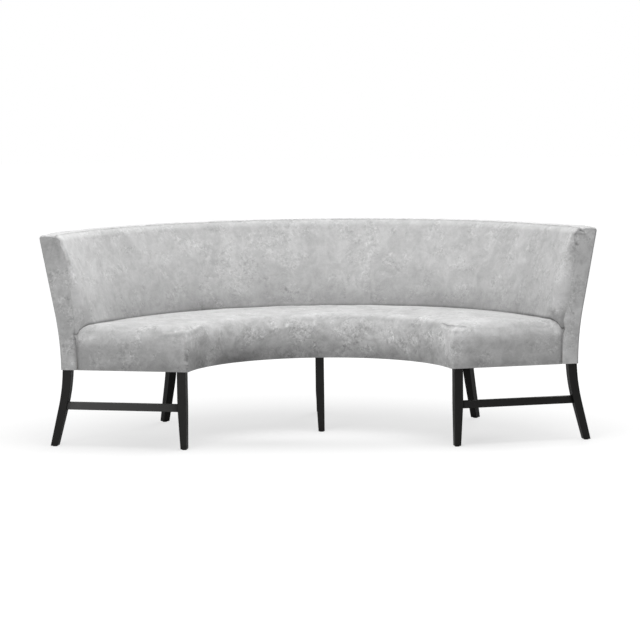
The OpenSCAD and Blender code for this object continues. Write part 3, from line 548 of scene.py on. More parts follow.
def inside_back():
    """Velvet of the inside back: the section swept round the bench, moved along its normals by its
    unevenness and pucker, less the groove and the valley of the top seam. Its painted light and shade
    is the sum of the tones above, each over a bell or a smooth step."""
    r, z = inside_section(COLUMN_T)
    side = np.sign(COLUMN_SHARE)
    angle = column_angle(r)
    r = r + soft_end(side, COLUMN_T, z)
    grid = polar(r, angle, z)
    up = path_length(grid, 1)
    to_seam = up[:, -1:] - up
    quiet = ease(to_seam / UNEVEN_FROM_SEAM) * ease(COLUMN_T / UNEVEN_IN)
    quiet = quiet * rise(z, ROLL_Z + 20 * MM, 50 * MM)
    pucker = uneven(grid, INSIDE_PUCKERS) * bump(to_seam, PUCKER_REACH) * ease(COLUMN_T / PUCKER_IN)
    dip = SEAM_DIP * bump(to_seam, SEAM_W) + VALLEY_DIP * bump(to_seam, VALLEY_W)
    lift = uneven(grid, INSIDE_WAVES) * quiet + pucker - dip * ease(COLUMN_T / SEAM_IN)
    out = -normals(grid)
    grid, painted_crease_tone = crease(grid + out * lift[..., None], out, BACK_MARKS)
    foot = HEM_ROWS + len(UNDER_SHARES)
    above = up - up[:, foot:foot + 1]
    far = rise(np.abs(COLUMN_SHARE), 0.75, 0.2)
    # Painted light and shade: paler ends, darker right, painted shade in the crevice, above it and at the
    # seam
    nap = BACK_SHADING_BASE + BACK_ENDS * far - BACK_RIGHT * rise(COLUMN_SHARE, 0.74, 0.12)
    nap = nap - (CREVICE_TONES[0] + CREVICE_TONES[1] * far) * bump(above, CREVICE_SHADE)
    nap = nap - BACK_SEAM * bump(to_seam, SEAM_SHADE) - WIDE_SHADE[0] * bump(above, WIDE_SHADE[1])
    nap = nap - NEAR_SHADE[0] * bump(above, NEAR_SHADE[1]) * (1 - far)
    places = bump(np.abs(COLUMN_SHARE) - SIDE_SHARE, 0.14)
    nap = nap - SIDE_SHADE[0] * places * bump(above, SIDE_SHADE[1])
    nap = nap - BACK_TILT * COLUMN_SHARE * rise(z, 660 * MM, 100 * MM) + painted_crease_tone
    # Painted highlight where the back rounds off into its ends
    turned = np.where(side < 0, END_PAINTED_LIGHT[0], END_PAINTED_LIGHT[1] - END_PAINTED_LIGHT[2] * rise(z, 620 * MM, 100 * MM))
    turned = turned * (1 - ease(r * np.sin(HALF_ANGLE - np.abs(angle)) / END_PAINTED_LIGHT_REACH))
    nap = nap + turned * rise(z, 480 * MM, 50 * MM)
    obj = cover("inside_back_velvet", grid, -1, nap, 0.95)
    return obj


# Rows of the top band: over its step up, its level part and its turn
BAND_STEP_ROWS = 14
BAND_LEVEL_ROWS = 7
BAND_TURN_ROWS = 8

# Painted light of the top band: its painted highlight level, and the painted shade on the right
# and in the seam
BAND_PAINTED_LIGHT = 1.14
BAND_RIGHT = 0.2
BAND_SEAM = 0.45


def top_band():
    """Velvet band along the top: a smooth step up from the seam, level, a quarter turn round the outer
    edge, and down to the low seam, each part drawn in at the ends by their rounded corner."""
    d = corner_inset(COLUMN_T)
    step = np.linspace(0, 1, BAND_STEP_ROWS) ** 1.3
    outer_c = float(back_r(TOP_Z - TOP_EDGE_R)) - TOP_EDGE_R
    level = np.linspace(0, 1, BAND_LEVEL_ROWS + 1)[1:]
    turn = np.linspace(0, np.pi / 2, BAND_TURN_ROWS + 1)[1:]
    ones = np.ones_like(COLUMN_T)
    r = np.concatenate([
        (ROLL_C_R + SEAM_RISE_W * step) * ones,
        (ROLL_C_R + SEAM_RISE_W + (outer_c - ROLL_C_R - SEAM_RISE_W) * level) * ones,
        outer_c + (TOP_EDGE_R - d) * np.sin(turn),
        (float(back_r(BAND_LOW_Z)) - d)], 1)
    z = np.concatenate([
        TOP_Z - SEAM_DROP + SEAM_DROP * ease(step) - d,
        (TOP_Z - d) * np.ones_like(level),
        TOP_Z - TOP_EDGE_R + (TOP_EDGE_R - d) * np.cos(turn),
        BAND_LOW_Z * ones], 1)
    grid = polar(r, column_angle(r), z)
    across = path_length(grid, 1)
    pucker = uneven(grid, BAND_PUCKERS) * ease(COLUMN_T / PUCKER_IN)
    soft = uneven(grid, BAND_WAVES) * ease(across / PUCKER_IN) * ease(COLUMN_T / UNEVEN_IN)
    dip = SEAM_DIP * bump(across, SEAM_W) + VALLEY_DIP * bump(across, VALLEY_W)
    dip = dip + LOW_SEAM_SHARE * SEAM_DIP * bump(across[:, -1:] - across, SEAM_W)
    lift = pucker + soft - dip * ease(COLUMN_T / SEAM_IN)
    out = -normals(grid)
    grid, painted_crease_tone = crease(grid + out * lift[..., None], out, BACK_MARKS)
    # Painted highlight of the band, with painted shade on the right, in the seam and in creases
    nap = BAND_PAINTED_LIGHT - BAND_RIGHT * rise(COLUMN_SHARE, 0.7, 0.25) - BAND_SEAM * bump(across, 5 * MM) + painted_crease_tone
    obj = cover("top_band_velvet", grid, -1, nap, 0.8)
    return obj


def outside_back():
    """Velvet over the outside back, from the hem to the seam under the top edge: the back's radius at
    each height, less the rounded corner, moved along its normals by its unevenness and the groove."""
    z = np.linspace(APRON_Z, BAND_LOW_Z - 0.3 * MM, 64)[None, :]
    r = back_r(z) - corner_inset(COLUMN_T)
    grid = polar(r, column_angle(r), z)
    down = BAND_LOW_Z - z
    soft = uneven(grid, OUTSIDE_WAVES) * ease(COLUMN_T / UNEVEN_IN) * ease(down / UNEVEN_FROM_SEAM)
    soft = soft - LOW_SEAM_SHARE * SEAM_DIP * bump(down, SEAM_W)
    grid = grid + normals(grid) * soft[..., None]
    obj = cover("outside_back_velvet", grid, 1, 1.0, 1.0)
    return obj


def resampled(path, count):
    """Points evenly spaced along a path of radii and heights."""
    length = np.r_[0, np.cumsum(np.hypot(*np.diff(path, axis=0).T))]
    at = np.linspace(0, length[-1], count)
    return np.stack([np.interp(at, length, path[:, k]) for k in range(2)], -1)


# End panel: rows below the crevice and round the top's outer edge, and points across
PANEL_LOW_ROWS = 23
PANEL_TURN_ROWS = 5
PANEL_COLUMNS = 72

# Painted shade in the seam of the left and the right end, and for each end panel that shade, its
# painted light level and how strongly it is mottled
SEAM_PAINTED_SHADES = (0.3, 0.14)
PANEL_SHADING_AND_MOTTLE = ((SEAM_PAINTED_SHADES[0], 0.93, 1.3), (SEAM_PAINTED_SHADES[1], 1.14, 1.0))


def end_panel(side, word):
    """Flat velvet end of the back: rows from the inside back's section to the outside back's, which
    meet in the top seam. It swells with the distance from its edges, and dips to the seat's seam."""
    zero = np.zeros((1, 1))
    r, z = inside_section(zero)
    r = r + soft_end(side, zero, z)
    low = np.linspace(APRON_Z, z[0, 0], PANEL_LOW_ROWS + 1)[:-1]
    inner = np.stack([np.r_[np.full(len(low), r[0, 0]), r[0]], np.r_[low, z[0]]], -1)
    top_rows = len(ROLL_SHARES)
    side_z = inner[:-top_rows, 1]
    top_c = TOP_Z - TOP_EDGE_R
    outer_c = float(back_r(top_c)) - TOP_EDGE_R
    turn = np.linspace(0, np.pi / 2, PANEL_TURN_ROWS)
    edge = TOP_EDGE_R - END_CORNER_R
    last = np.array([[back_r(side_z[-1]) - END_CORNER_R, side_z[-1]]])
    arc = np.stack([outer_c + edge * np.cos(turn), top_c + edge * np.sin(turn)], -1)
    band = np.array([[ROLL_C_R + SEAM_RISE_W, TOP_Z - END_CORNER_R],
                     [ROLL_C_R, TOP_Z - SEAM_DROP - END_CORNER_R]])
    upper = resampled(np.concatenate([last, arc, band]), top_rows + 1)[1:]
    outer = np.concatenate([np.stack([back_r(side_z) - END_CORNER_R, side_z], -1), upper])
    fine = np.linspace(0, len(inner) - 1, 3 * len(inner) - 2)
    inner, outer = (np.stack([np.interp(fine, np.arange(len(line)), line[:, k]) for k in range(2)], -1)
                    for line in (inner, outer))
    share = ((1 - np.cos(np.linspace(0, np.pi, PANEL_COLUMNS))) / 2)[:, None]
    y = inner[None, :, 0] + (outer - inner)[None, :, 0] * share
    zz = inner[None, :, 1] + (outer - inner)[None, :, 1] * share
    grid = end_point(side, 0, y, zz)
    inwards = y - inner[None, :, 0]
    below = ease((SEAT_EDGE_Z - zz) / (30 * MM))
    seam = SEAT_SEAM_DIP * bump(inwards, SEAT_SEAM_W) * below
    near = np.minimum(inwards, back_r(zz) - END_CORNER_R - y)
    near = np.maximum(np.minimum(near, (TOP_Z - END_CORNER_R - zz)), 0)
    waves = ripple(grid, PANEL_WAVE, 8 + side) * ease(near / (15 * MM))
    swell = PANEL_SWELL * (ease(near / (20 * MM)) + waves)
    out = end_point(side, -1, 0, 0) - end_point(side, 0, 0, 0)
    grid, painted_crease_tone = crease(end_point(side, seam - swell, y, zz), out, BACK_MARKS)
    shade, level, crush = PANEL_SHADING_AND_MOTTLE[side > 0]
    # Painted light level of the panel, with painted shade in its seam with the seat and in creases
    nap = level - shade * bump(inwards, SEAM_SHADE) * below + painted_crease_tone
    obj = cover("end_panel_velvet_" + word, grid, -side, nap, crush)
    return obj


# Cells of the seat's plan grid: in a corner, over its soft end and how deep that is, between the
# ends and from front to rear. The crown falls off near the ends as 1 - share^power.
SEAT_CORNER_CELLS = 12
SEAT_END = 85 * MM
SEAT_SOFT_COLUMNS = 22
SEAT_MIDDLE_COLUMNS = 161
SEAT_ROWS = 40
CROWN_POWER = 8

# Radii in plan of the left and right front corner's upright edge, and what the top's radius adds
SEAT_CORNER_R = np.array([4, 11]) * MM
SEAT_CORNER_GAIN = np.array([16, 24]) * MM


def round_corner(a, b, radius):
    """Moves places within a square at a corner into a quarter disc: a point at u, v from the disc's
    centre is scaled by max(u, v) over its distance."""
    u = np.clip(1 - a / radius, 0, 1)
    v = np.clip(1 - b / radius, 0, 1)
    size = np.maximum(np.hypot(u, v), 1e-9)
    scale = np.where((u > 0) & (v > 0), np.maximum(u, v) / size, 1)
    return a + radius * u * (1 - scale), b + radius * v * (1 - scale)


def seat_plan(front, end, rear, radius):
    """Radius and angle of the seat's plan grid for insets from its front, ends and rear, with
    a corner radius for the left and the right front corner."""
    cell = np.arange(SEAT_CORNER_CELLS + 1) / SEAT_CORNER_CELLS
    soft = np.linspace(0, 1, SEAT_SOFT_COLUMNS)[1:-1]
    across = np.linspace(0, 1, SEAT_ROWS)[1:]
    out_r, out_a = [], []
    for side, rad in zip((-1, 1), radius):
        t = np.concatenate([end + rad * cell, end + rad + (SEAT_END - end - rad) * soft])[:, None]
        r0 = SEAT_FRONT_R + front
        r1 = SEAT_REAR_R - rear
        q = np.concatenate([rad * cell, rad + (r1 - r0 - rad) * across])[None, :]
        a, b = round_corner(t - end, q + 0 * t, rad)
        r = r0 + b
        out_r.append(r)
        out_a.append(side * (HALF_ANGLE - np.arcsin((end + a) / r)))
    shares = np.linspace(-1, 1, SEAT_MIDDLE_COLUMNS)[:, None]
    mix = (shares + 1) / 2
    r_mid = out_r[0][-1] * (1 - mix) + out_r[1][-1] * mix
    a_mid = shares * (HALF_ANGLE - np.arcsin(SEAT_END / r_mid))
    r = np.concatenate([out_r[0], r_mid, out_r[1][::-1]])
    a = np.concatenate([out_a[0], a_mid, out_a[1][::-1]])
    return r, a


def loop_of(n, m):
    """Numbers of a grid's border points in order, for n by m points listed column by column."""
    i, j = np.arange(n), np.arange(m)
    return np.concatenate([i[:-1] * m, (n - 1) * m + j[:-1], i[:0:-1] * m + m - 1, j[:0:-1]])


def seat_form(d, levels, roll_steps, rear_z, low_z):
    """Grid of the seat's top, and rings round it down the roll and the sides, d inside the fabric.
    A ring's inset is the roll's, r - (r - d) cos b, at height z + (r - d) sin b. The sides end at
    low_z, and the rear side at rear_z."""
    corner = SEAT_CORNER_R
    top_corner = corner + SEAT_CORNER_GAIN
    r, a = seat_plan(SEAT_ROLL - SEAT_BULGE, SEAT_ROLL - SEAT_BULGE, SEAT_ROLL, top_corner)
    depth = (r - r[:, :1]) / (r[:, -1:] - r[:, :1])
    along = np.abs(a) / np.abs(a[0, 0])
    crown = SEAT_CROWN * (1 - along**CROWN_POWER) * (1 - (2 * depth - 1) ** 2) ** 1.5
    top = polar(r, a, SEAT_EDGE_Z - d + crown)
    n, m = r.shape
    loop = loop_of(n, m)
    at_rear = (loop % m == m - 1) & (loop >= m) & (loop < (n - 1) * m)
    rings = []
    for b in np.linspace(np.pi / 2, 0, roll_steps)[1:]:
        inset = SEAT_ROLL - (SEAT_ROLL - d) * np.cos(b)
        radius = corner + (top_corner - corner) * np.sin(b) ** 2
        r, a = seat_plan(inset - SEAT_BULGE, inset - SEAT_BULGE, inset, radius)
        z = ROLL_Z + (SEAT_ROLL - d) * np.sin(b)
        rings.append(polar(r, a, z).reshape(-1, 3)[loop])
    for share in np.linspace(0, 1, levels)[1:]:
        bulge = SEAT_BULGE * (1 - ease(share / 0.9))
        r, a = seat_plan(d - bulge, d - bulge, d, corner)
        z = ROLL_Z + (np.where(at_rear, rear_z, low_z) - ROLL_Z) * share
        ring = polar(r, a, 0).reshape(-1, 3)[loop]
        ring[:, 2] = z
        rings.append(ring)
    return top, np.array(rings), loop


def joined_form(top, rings, loop):
    """Points and outward quads of a top grid and the rings that hang from its border."""
    n, m = top.shape[:2]
    points = np.concatenate([top.reshape(-1, 3), rings.reshape(-1, 3)])
    ring_numbers = n * m + np.arange(rings.shape[0] * len(loop)).reshape(-1, len(loop))
    numbers = np.concatenate([loop[None], ring_numbers])
    a, b = numbers[:-1], numbers[1:]
    sides = np.stack([a, np.roll(a, -1, 1), np.roll(b, -1, 1), b], -1).reshape(-1, 4)
    return points, np.concatenate([cell_faces(n, m)[:, ::-1], sides]), numbers


def point_normals(points, quads):
    """Unit normals at points: the sum of the cross products of the diagonals of the quads there."""
    a, b, c, d = (points[quads[:, i]] for i in range(4))
    face = np.cross(c - a, d - b)
    out = np.zeros_like(points)
    for i in range(4):
        np.add.at(out, quads[:, i], face)
    return out / np.maximum(np.linalg.norm(out, axis=-1, keepdims=True), 1e-12)


# Painted light and shade of the seat, as factors on its colour, at distances down from the start of
# the roll, in millimetres: on the front, the left end and the right end
DOWN = np.array([0, 12, 25, 38, 50, 62, 75, 88, 100, 130, 160, 190]) * MM
FRONT_PAINTED_SHADING = (0.97, 0.98, 0.97, 0.91, 0.95, 1.02, 1.15, 1.14, 1.07, 0.85, 0.69, 0.57)
LEFT_PAINTED_SHADING = (0.99, 0.99, 0.97, 0.96, 0.9, 1.02, 1.14, 1.07, 0.95, 0.88, 0.85, 0.7)
RIGHT_PAINTED_SHADING = (0.97, 0.97, 0.95, 0.93, 0.94, 1.14, 1.32, 1.2, 1.03, 0.96, 0.9, 0.8)

# Soft patches of the front: share of the angle, distance down, their half widths and tone
FRONT_PATCHES = ((0.43, 128, 0.17, 46, 0.28), (-0.78, 100, 0.05, 40, -0.1), (-0.5, 92, 0.08, 26, 0.2),
                 (0.15, 80, 0.06, 24, -0.13), (-0.17, 0, 0.12, 60, -0.05), (-0.28, 128, 0.06, 26, -0.1),
                 (-0.55, 188, 0.12, 16, -0.12), (0.8, 20, 0.12, 16, 0.1))

# Soft patches of the ends: side, distance out, distance down, their half widths and tone
END_PATCHES = ((-1, 600, 178, 45, 26, -0.2), (-1, 912, 72, 32, 18, 0.32), (-1, 765, 110, 25, 26, -0.1),
               (1, 548, 130, 26, 55, 0.3), (1, 610, 182, 45, 18, -0.16), (1, 930, 62, 30, 22, 0.25),
               (1, 880, 130, 22, 26, 0.12), (1, 700, 90, 32, 24, -0.12))


# Other painted light and shade of the seat: the painted shade under the front's edge and what it gains
# on the right, the painted light on the front's right, the painted shades low on its left and before
# the crevice, and the rear roll's, of which the ends have a quarter
EDGE_SHADE = (0.12, 0.1)
RIGHT_LIGHT = 0.24
LEFT_SHADE = 0.12
REAR_SHADE = 0.14
ROLL_SHADE = 0.3
ROLL_END_SHARE = 0.25


def seat_nap(points):
    """Painted light and shade of the seat: a table of distances down the roll for the front and each end,
    with soft patches, and painted shade in its seams with the back. Also how far each point belongs to
    the front, from 0 to 1, and its distance down the roll."""
    x, y, z = points.T
    r, share = np.hypot(x, y - ARC_Y), np.arctan2(x, y - ARC_Y) / HALF_ANGLE
    t = r * np.sin(HALF_ANGLE * (1 - np.abs(share)))
    out = r * np.cos(HALF_ANGLE * (1 - np.abs(share)))
    behind = rise(r, CREVICE_R - 8 * MM, 8 * MM)
    down = SEAT_ROLL * np.arccos(np.clip((z - ROLL_Z) / SEAT_ROLL, 0, 1)) + np.maximum(ROLL_Z - z, 0)
    down = down * (1 - behind * (t > SEAT_ROLL))
    front = ease((t - (r - SEAT_FRONT_R)) / (40 * MM) + 0.5) * (r < CREVICE_R)
    ends = np.where(share < 0, *(np.interp(down, DOWN, row) for row in (LEFT_PAINTED_SHADING, RIGHT_PAINTED_SHADING)))
    turn = 40 * MM + 18 * MM * rise(share, 0.35, 0.25)
    edge = EDGE_SHADE[0] + EDGE_SHADE[1] * rise(share, 0.4, 0.2)
    edge = edge * rise(share, -0.05, 0.25) * bump(down - turn, 17 * MM)
    middle = np.interp(down, DOWN, FRONT_PAINTED_SHADING) - edge
    middle = middle + RIGHT_LIGHT * rise(share, 0.45, 0.4) * rise(down, 40 * MM, 30 * MM)
    left = ease(-share / 0.15) * (1 - rise(-share, 0.6, 0.15))
    middle = middle - LEFT_SHADE * left * rise(down, 130 * MM, 35 * MM)
    for at, deep, wide, tall, tone in FRONT_PATCHES:
        middle = middle + tone * bump(share - at, wide) * bump(down - deep * MM, tall * MM)
    for side, at, deep, wide, tall, tone in END_PATCHES:
        patch = bump(out - at * MM, wide * MM) * bump(down - deep * MM, tall * MM)
        ends = ends + tone * patch * (share * side > 0)
    nap = front * middle + (1 - front) * ends
    seam = np.where(share < 0, *SEAM_PAINTED_SHADES) * bump(SEAT_REAR_R - r, SEAM_SHADE)
    seam = seam * rise(np.abs(share), 0.9, 0.08)
    inside = 1 - rise(np.abs(share), 0.86, 0.1)
    nap = nap - REAR_SHADE * bump(np.maximum(CREVICE_R - r, 0), 45 * MM) * inside * (z > ROLL_Z)
    rear_roll = behind * rise(z, ROLL_Z, 10 * MM) * (ROLL_END_SHARE + (1 - ROLL_END_SHARE) * inside)
    return nap - seam - ROLL_SHADE * rear_roll, front, down


# How strongly the seat's velvet is mottled, and what its front adds
SEAT_CRUSH = 1.15
FRONT_CRUSH = 0.45


def seat():
    """Velvet of the seat: the crowned top and the rings of its roll, front and ends, a little uneven
    and creased at its front corners."""
    top, rings, loop = seat_form(0, 40, 26, HEM_Z, APRON_Z)
    points, quads = joined_form(top, rings, loop)[:2]
    for k in (-2, 2):
        t, y = from_rib(k, points)
        t = t + END_LEG_T
        dip = SEAT_SEAM_DIP * bump(SEAT_REAR_R - y, SEAT_SEAM_W) * ease(1 - np.abs(t) / SEAT_ROLL)
        points = points + end_point(k / 2, dip, 0, 0) - end_point(k / 2, 0, 0, 0)
    # Painted light and shade of the seat
    nap, front, down = seat_nap(points)
    out = point_normals(points, quads)
    r = np.hypot(points[:, 0], points[:, 1] - ARC_Y)
    quiet = (1 - rise(r, CREVICE_R - 50 * MM, 40 * MM)) * (1 - 0.6 * rise(down, 150 * MM, 40 * MM))
    lift = uneven(points, SEAT_WAVES) * quiet
    points, painted_crease_tone = crease(points + out * lift[:, None], out, SEAT_MARKS)
    crush = SEAT_CRUSH + FRONT_CRUSH * front * rise(down, 40 * MM, 40 * MM)
    obj = thicken(make_object("seat_velvet", settled(points), quads, nap=nap + painted_crease_tone, crush=crush), COVER_T)
    return obj


# Gap between a cover and its foam, where the seat's foam lies on the straps, the back foam's corner
# at the ends, its top, how far its rear face is before the posts' front, its columns over a soft end
# and between the ends, and its rows behind
PAD_GAP = 1.2 * MM
FOAM_Z = RAIL_TOP_Z + 3 * MM
PAD_CORNER_R = 22 * MM
PAD_TOP_Z = TOP_RAIL_Z + 31 * MM
PAD_CLEAR = 6 * MM
PAD_SOFT = 6
PAD_MIDDLE = 71
PAD_REAR_ROWS = 12


def seat_pad():
    """Seat foam: the velvet's form a little smaller, closed below where it lies on the straps."""
    top, rings, loop = seat_form(SKIN + PAD_GAP, 6, 8, FOAM_Z, FOAM_Z)
    points, quads, numbers = joined_form(top, rings, loop)
    n, m = top.shape[:2]
    inset = SKIN + PAD_GAP
    under = polar(*seat_plan(inset, inset, inset, SEAT_CORNER_R), FOAM_Z)
    first = len(points)
    twin = np.arange(first, first + n * m)
    twin[loop] = numbers[-1]
    bottom = twin[cell_faces(n, m)]
    points = np.concatenate([points, under.reshape(-1, 3)])
    used = np.unique(np.concatenate([quads, bottom]))
    place = np.full(len(points), -1)
    place[used] = np.arange(len(used))
    obj = make_object("seat_pad", settled(points[used]), place[np.concatenate([quads, bottom])])
    return obj


def post_front(z, top):
    """Radius of a back post's front face: upright to the rails' top, then a straight lean to a top."""
    lean = (float(back_r(top)) - BOARD_SKIN - REAR_LEG_D + LEG_W / 8 - POST_FRONT_R) / (top - RAIL_TOP_Z)
    return POST_FRONT_R + np.maximum(0, z - RAIL_TOP_Z) * lean


def back_pad():
    """Foam of the inside back: its section in front of the plywood, swept round the bench."""
    gap = SKIN + PAD_GAP
    t = np.concatenate([gap + np.linspace(0, 1, PAD_SOFT) ** 2 * END_ROUND / 2, [END_ROUND]])
    side = np.concatenate([0 * t - 1, np.linspace(-1, 1, PAD_MIDDLE + 2)[1:-1], 0 * t + 1])[:, None]
    t = np.concatenate([t, np.full(PAD_MIDDLE, END_ROUND), t[::-1]])[:, None]
    d = gap + corner_inset(t - gap, PAD_CORNER_R)
    r, z = section_at(t, d, d, d + VALLEY_DIP * ROLL_SHARES**6)
    r, z = r[:, HEM_ROWS::3], z[:, HEM_ROWS::3]
    rear_z = np.linspace(PAD_TOP_Z, HEM_Z, PAD_REAR_ROWS)
    rear_r = post_front(rear_z, PAD_TOP_Z) - PAD_CLEAR
    ones = np.ones_like(t)
    over = float(back_r(PAD_TOP_Z)) - BOARD_SKIN
    foot = SEAT_REAR_R + CREVICE_GAP + gap
    r = np.concatenate([foot * ones, r, over * ones, over * ones, rear_r * ones], 1)
    z = np.concatenate([HEM_Z * ones, z, z[:, -1:], PAD_TOP_Z * ones, rear_z * ones], 1)
    grid = polar(r, side * (HALF_ANGLE - np.arcsin(t / r)), z)
    obj = tube_object("inside_back_pad", settled(grid))
    return obj


# Dust cloth: cells across and along, how far in from the velvet it ends, its sag, its height at the
# edges, its thickness, and the gap round a leg
DUST_ROWS = 64
DUST_COLUMNS = 260
DUST_INSET = 7 * MM
DUST_SAG = 5 * MM
DUST_Z = APRON_Z + 2.5 * MM
DUST_T = 0.4 * MM
LEG_GAP = 3 * MM


def dust_cloth():
    """Black cloth under the seat, cut out round the legs. It hangs below its edges by
    sag * sin(pi v)^0.7 * (1 - u^8), with v across from 0 to 1 and u along from -1 to 1."""
    share = np.linspace(0, 1, DUST_ROWS)[None, :]
    side = np.linspace(-1, 1, DUST_COLUMNS)[:, None]
    r = SEAT_FRONT_R + DUST_INSET + (LEG_REAR_R - SEAT_FRONT_R - 2 * DUST_INSET) * share
    a = side * (HALF_ANGLE - np.arcsin(2 * DUST_INSET / r))
    sag = DUST_SAG * np.sin(np.pi * share) ** 0.7 * (1 - side**8)
    grid = polar(r, a, DUST_Z - sag + 0 * a)
    grid[..., 2] += uneven(grid, DUST_WAVES) * np.sin(np.pi * share)
    centre = (grid[:-1, :-1] + grid[1:, 1:]) / 2
    keep = np.ones(centre.shape[:2], bool)
    for k in range(-2, 3):
        x, y = from_rib(k, centre)
        legs = y > POST_FRONT_R - REAR_LEG_D - LEG_GAP
        if k % 2 == 0:
            legs |= y < FRAME_FRONT_R + FRONT_STEP + LEG_W + LEG_GAP
        keep &= ~(legs & (np.abs(x) < LEG_W / 2 + LEG_GAP))
    quads = cell_faces(DUST_COLUMNS, DUST_ROWS)[keep.ravel()]
    obj = thicken(make_object("dust_cloth", grid.reshape(-1, 3), quads[:, ::-1]), DUST_T)
    return obj


def rib_angle(k):
    """Angle of a rib, numbered -2 to 2 from left to right."""
    return 0 if k == 0 else math.copysign(HALF_ANGLE if abs(k) == 2 else MID_ANGLE, k)


def rib_frame(k):
    """Cosine and sine of a rib's angle, the sign of its X axis, which points into the bench, and how
    far the middle of its leg stands in from the end plane."""
    a = rib_angle(k)
    return math.cos(a), math.sin(a), 1 if k == -2 else -1, END_LEG_T if abs(k) == 2 else 0


def from_rib(k, points):
    """Places of points in a rib's own frame: across from the leg's middle, and outwards."""
    c, s, turn, shift = rib_frame(k)
    x, y = points[..., 0], points[..., 1] - ARC_Y
    return (x * c - y * s) * turn - shift, x * s + y * c


# Points round one edge of a bar
EDGE_STEPS = 5


def section_loop():
    """A rounded rectangle's points, walked anticlockwise: the signs of each point's corner, and its
    place on the rounded edge, EDGE_R (cos a, sin a)."""
    signs = np.array([(1, 1), (-1, 1), (-1, -1), (1, -1)])
    angle = (np.arange(4)[:, None] * np.pi / 2 + np.linspace(0, np.pi / 2, EDGE_STEPS)).ravel()
    return np.repeat(signs, EDGE_STEPS, 0), EDGE_R * np.stack([np.cos(angle), np.sin(angle)], -1)


def bar(name, low, high, to_world, painted_sheen=None):
    """Bar with rounded edges: a rounded rectangle between two corners, low and high, at each station
    along it. The corners' first two coordinates are across and the third is along. The last argument
    is a painted reflection, a value for each station."""
    sign, arc = section_loop()
    mid, half = (low + high)[:, None, :2] / 2, (high - low)[:, None, :2] / 2
    flat = mid + sign * (half - EDGE_R) + arc
    along = np.broadcast_to(low[:, None, 2:], flat.shape[:2] + (1,))
    grid = to_world(np.concatenate([flat, along], -1))
    n, m = grid.shape[:2]
    around = np.broadcast_to(np.linspace(0, 4 * LEG_W, m), (n, m))
    length = np.cumsum(np.r_[0, np.linalg.norm(np.diff(grid[:, 0], axis=0), axis=-1)])
    uv = np.stack([np.broadcast_to(length[:, None], (n, m)), around], -1).reshape(-1, 2)
    obj = tube_object(name, grid, uv, **({} if painted_sheen is None else {"painted_sheen": np.repeat(painted_sheen, m)}))
    soft = obj.modifiers.new("even_shading", "WEIGHTED_NORMAL")
    soft.keep_sharp = True
    return obj


def rib_world(k):
    """Turns a rib's own frame, X across from the leg's middle and Y outwards, into the bench's."""
    c, s, turn, shift = rib_frame(k)

    def to_world(p):
        x, y, z = (p[..., 0] + shift) * turn, p[..., 1], p[..., 2]
        return np.stack([x * c + y * s, -x * s + y * c + ARC_Y, z], -1)
    return to_world


def leg_out(z):
    """Rear face of a rear leg: upright, then an arc, then a straight splay down to the foot."""
    low = SWEEP_Z - SWEEP_R * math.sin(LEG_SPLAY)
    h = np.clip(SWEEP_Z - z, 0, SWEEP_Z - low)
    return LEG_REAR_R + SWEEP_R - np.sqrt(SWEEP_R**2 - h**2) + np.maximum(0, low - z) * math.tan(LEG_SPLAY)


def leg_depth(z):
    """Depth of a rear leg below the rails, from its foot to its full size."""
    return REAR_FOOT_D + (REAR_LEG_D - REAR_FOOT_D) * z / RAIL_Z


def tapered(z, foot):
    """Width of a leg at a height: its foot's at the floor, and full from the start of its taper."""
    return foot + (LEG_W - foot) * np.clip((z - GLIDE_H) / (TAPER_Z - GLIDE_H), 0, 1)


def foot_inset(z):
    """Cut corner round a foot."""
    return np.clip(FOOT_CUT - (z - GLIDE_H), 0, FOOT_CUT)


def front_leg(k, name):
    """Straight leg, tapered on its rear face and on one side, and set back by a step below the rails."""
    z = np.concatenate([[GLIDE_H, GLIDE_H + FOOT_CUT], np.linspace(0.02, TAPER_Z, 8),
                        np.linspace(TAPER_Z + 0.01, RAIL_Z, 6), np.linspace(RAIL_Z + 0.001, RAIL_TOP_Z, 3)])
    w, cut = tapered(z, FRONT_FOOT_W), foot_inset(z)
    step = np.where(z <= RAIL_Z, FRONT_STEP, 0)
    low = np.stack([-LEG_W / 2 + cut, FRAME_FRONT_R + step + cut, z], -1)
    high = np.stack([-LEG_W / 2 + w - cut, FRAME_FRONT_R + FRONT_STEP + w - cut, z], -1)
    return bar(name, low, high, rib_world(k))


def rear_leg(k, name):
    """Rear leg and back post in one piece: splayed foot, swept to the rails, then leaning."""
    z = np.concatenate([[GLIDE_H, GLIDE_H + FOOT_CUT], np.linspace(0.02, RAIL_Z, 22),
                        np.linspace(RAIL_Z + 0.001, TOP_RAIL_Z, 18)])
    half = tapered(z, REAR_FOOT_W) / 2
    cut = foot_inset(z)
    reach = LEG_W + SKIN if abs(k) == 2 else LEG_W / 2
    drop = BACK_BASE_R - math.sqrt(BACK_BASE_R**2 - reach**2)
    outer = np.where(z <= RAIL_Z, leg_out(z), back_r(z) - BOARD_SKIN - drop)
    inner = np.where(z <= RAIL_Z, leg_out(z) - leg_depth(z), post_front(z, TOP_RAIL_Z + 30 * MM))
    low = np.stack([-half + cut, inner + cut, z], -1)
    high = np.stack([half - cut, outer - cut, z], -1)
    return bar(name, low, high, rib_world(k))


# Painted reflection on the left stretcher, its strength at its front and its rear end, and a
# stretcher's stations
STRETCHER_PAINTED_SHEEN = (0.26, 0.92)
STRETCHER_STATIONS = 12


